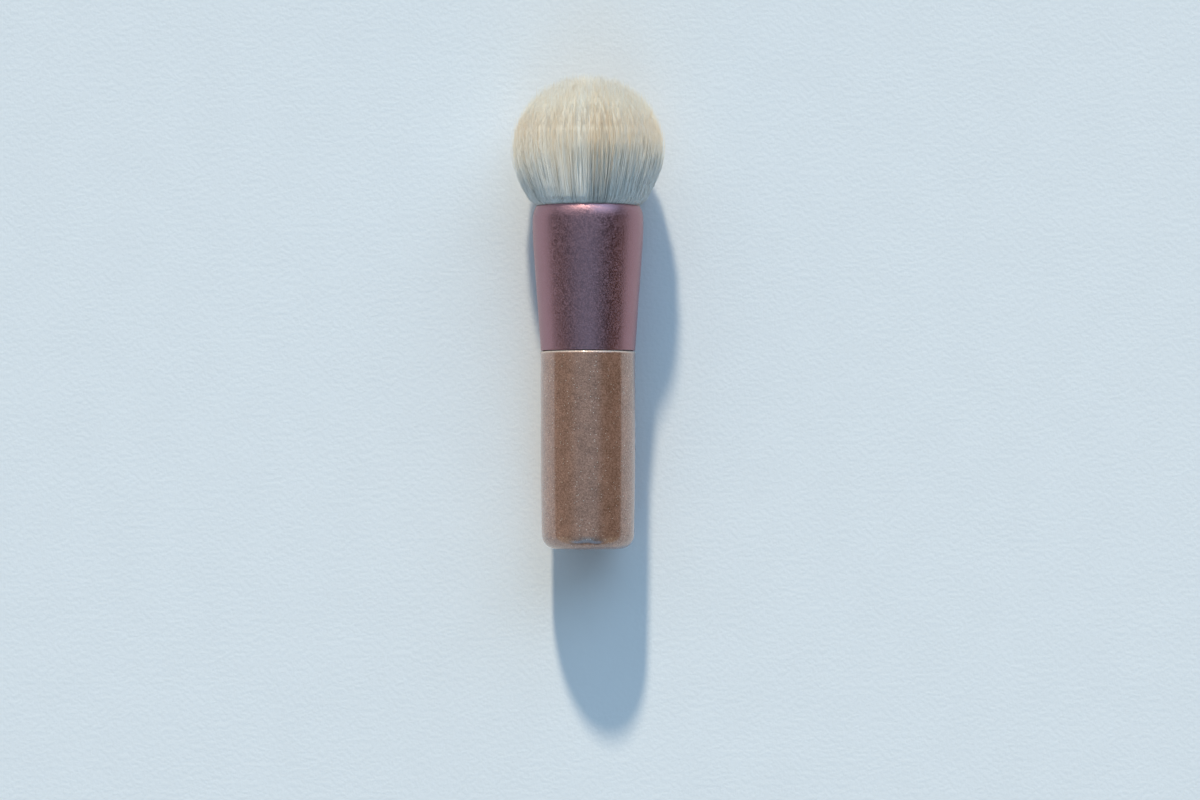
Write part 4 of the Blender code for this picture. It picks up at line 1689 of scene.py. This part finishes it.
@dataclass(frozen=True)
class Daylight:
    """A low warm sun from beyond the crown, a soft sky about it, and a dim room."""

    sun_way: tuple[float, float, float] = (-0.263, 2.18, 1.0)  # from the brush to the sun
    sun_colour: Colour = (1.0, 0.93, 0.762)
    sun_strength: float = 3.14
    sun_angle: float = math.radians(3.5)
    zenith: Colour = (0.2, 0.322, 0.42)
    left: Colour = (0.1, 0.125, 0.14)
    right: Colour = (0.03, 0.02, 0.015)
    low: Colour = (0.44, 0.52, 0.58)
    strip_middle: float = -0.05  # x of the overhead strip's middle
    strip_edges: tuple[float, float] = (0.74, 0.3)  # how far aside it is gone, and is whole
    strip_heights: tuple[float, float] = (0.3, 0.8)  # z where it sets in, and is whole
    side_change: tuple[float, float] = (-0.5, 0.4)  # x from the left side to the right one
    low_heights: tuple[float, float] = (0.06, 0.0)  # z where the low wall sets in, and is whole
    behind: Colour = (0.6, 0.69, 0.76)
    glows: tuple[Glow, ...] = (
        Glow(31, 33, 12, 33, (1.03, 1.6, 2.25)),
        Glow(-40, 30, 8, 34, (0.46, 0.57, 0.69)),
        Glow(181, 60, 6, 20, (0.12, 0.25, 0.35)),
        Glow(183, 37, 8, 18, (0.18, 0.52, 0.92)),
        Glow(180, 5, 4, 12, (0.6, 0.42, 0.35)),
        Glow(162, 23, 5, 15, (0.2, 0.62, 1.1)),
        Glow(204, 23, 5, 15, (0.2, 0.62, 1.1)),
        Glow(128, 12, 4, 32, (0.54, 0.43, 0.3)),
        Glow(-128, 12, 4, 32, (0.54, 0.43, 0.3)),
    )

    def sun(self) -> bpy.types.Object:
        """The sun lamp."""
        lamp = bpy.data.lights.new("sun", "SUN")
        lamp.energy = self.sun_strength
        lamp.color = self.sun_colour
        lamp.angle = self.sun_angle
        made = bpy.data.objects.new("sun", lamp)
        made.rotation_euler = Vector(self.sun_way).to_track_quat("Z", "Y").to_euler()
        bpy.context.scene.collection.objects.link(made)
        return made

    def room(self) -> bpy.types.World:
        """The room: pale near the horizon, dim at the sides, and cool overhead.

        A direction's height is its z, and how far it lies to the side is the size of its
        x. The left side blends into the darker right one with x, both blend into the
        overhead strip as the size of x falls, and into the low pale wall as z falls. Each
        glow adds to this by the angle from its middle. What the camera sees past the
        table is one pale colour.
        """
        made = bpy.data.worlds.new("room")
        made.use_nodes = True
        tree = Tree(made.node_tree)
        way = tree.add("TexCoord").outputs["Generated"]
        parts = tree.add("SeparateXYZ", Vector=way)
        aside = tree.math("ABSOLUTE", tree.math("SUBTRACT", parts.outputs["X"], self.strip_middle))
        overhead = tree.spread(aside, *self.strip_edges)
        is_high = tree.spread(parts.outputs["Z"], *self.strip_heights)
        overhead = tree.math("MULTIPLY", overhead, is_high)
        rightward = tree.spread(parts.outputs["X"], *self.side_change)
        sides = tree.blend(rightward, self.left, self.right)
        upper = tree.blend(overhead, sides, self.zenith)
        is_low = tree.spread(parts.outputs["Z"], *self.low_heights)
        colour = tree.blend(is_low, upper, self.low)
        for glow in self.glows:
            toward = tree.add("VectorMath", {"operation": "DOT_PRODUCT"}, in_0=way, in_1=glow.way)
            share = tree.spread(toward.outputs["Value"], *glow.edges)
            colour = tree.blend(share, colour, tree.blend(1.0, colour, glow.radiance, "ADD"))
        is_seen = tree.add("LightPath").outputs["Is Camera Ray"]
        colour = tree.blend(is_seen, colour, self.behind)
        tree.feed(made.node_tree.nodes["Background"].inputs["Color"], colour)
        bpy.context.scene.world = made
        return made


@dataclass(frozen=True)
class Viewpoint:
    """The camera, almost straight above the brush with the crown at the top."""

    lens: float = 126.9
    distance: float = 846 * MM
    tilt: float = math.radians(2.54)
    reach: float = 50.0  # how far it sees
    aim: tuple[float, float, float] = (2.4 * MM, -17.0 * MM, 10.1 * MM)

    def build(self) -> bpy.types.Object:
        """The scene's camera, set back from its aim along its view."""
        data = bpy.data.cameras.new("camera")
        data.lens = self.lens
        data.clip_end = self.reach
        made = bpy.data.objects.new("camera", data)
        made.rotation_euler = (self.tilt, 0, 0)
        ahead = Vector((0, math.sin(self.tilt), -math.cos(self.tilt)))
        made.location = Vector(self.aim) - ahead * self.distance
        bpy.context.scene.collection.objects.link(made)
        bpy.context.scene.camera = made
        return made


def main() -> None:
    """Builds the camera, the light, the table and the brush."""
    logging.basicConfig(level=logging.INFO, format="%(name)s: %(message)s")
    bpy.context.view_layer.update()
    bpy.context.scene.view_settings.view_transform = "Standard"
    Viewpoint().build()
    light = Daylight()
    light.sun()
    light.room()
    Table().build()
    sizes = BrushSizes()
    axis = BrushAxis.from_record(frame["record"])
    Handle(sizes, axis).build()
    Ferrule(sizes, axis).build()
    HairTuft(TuftShape(sizes, axis)).build()
    HiddenParts().dress(frame["nodes"])


if __name__ == "__main__":
    main()
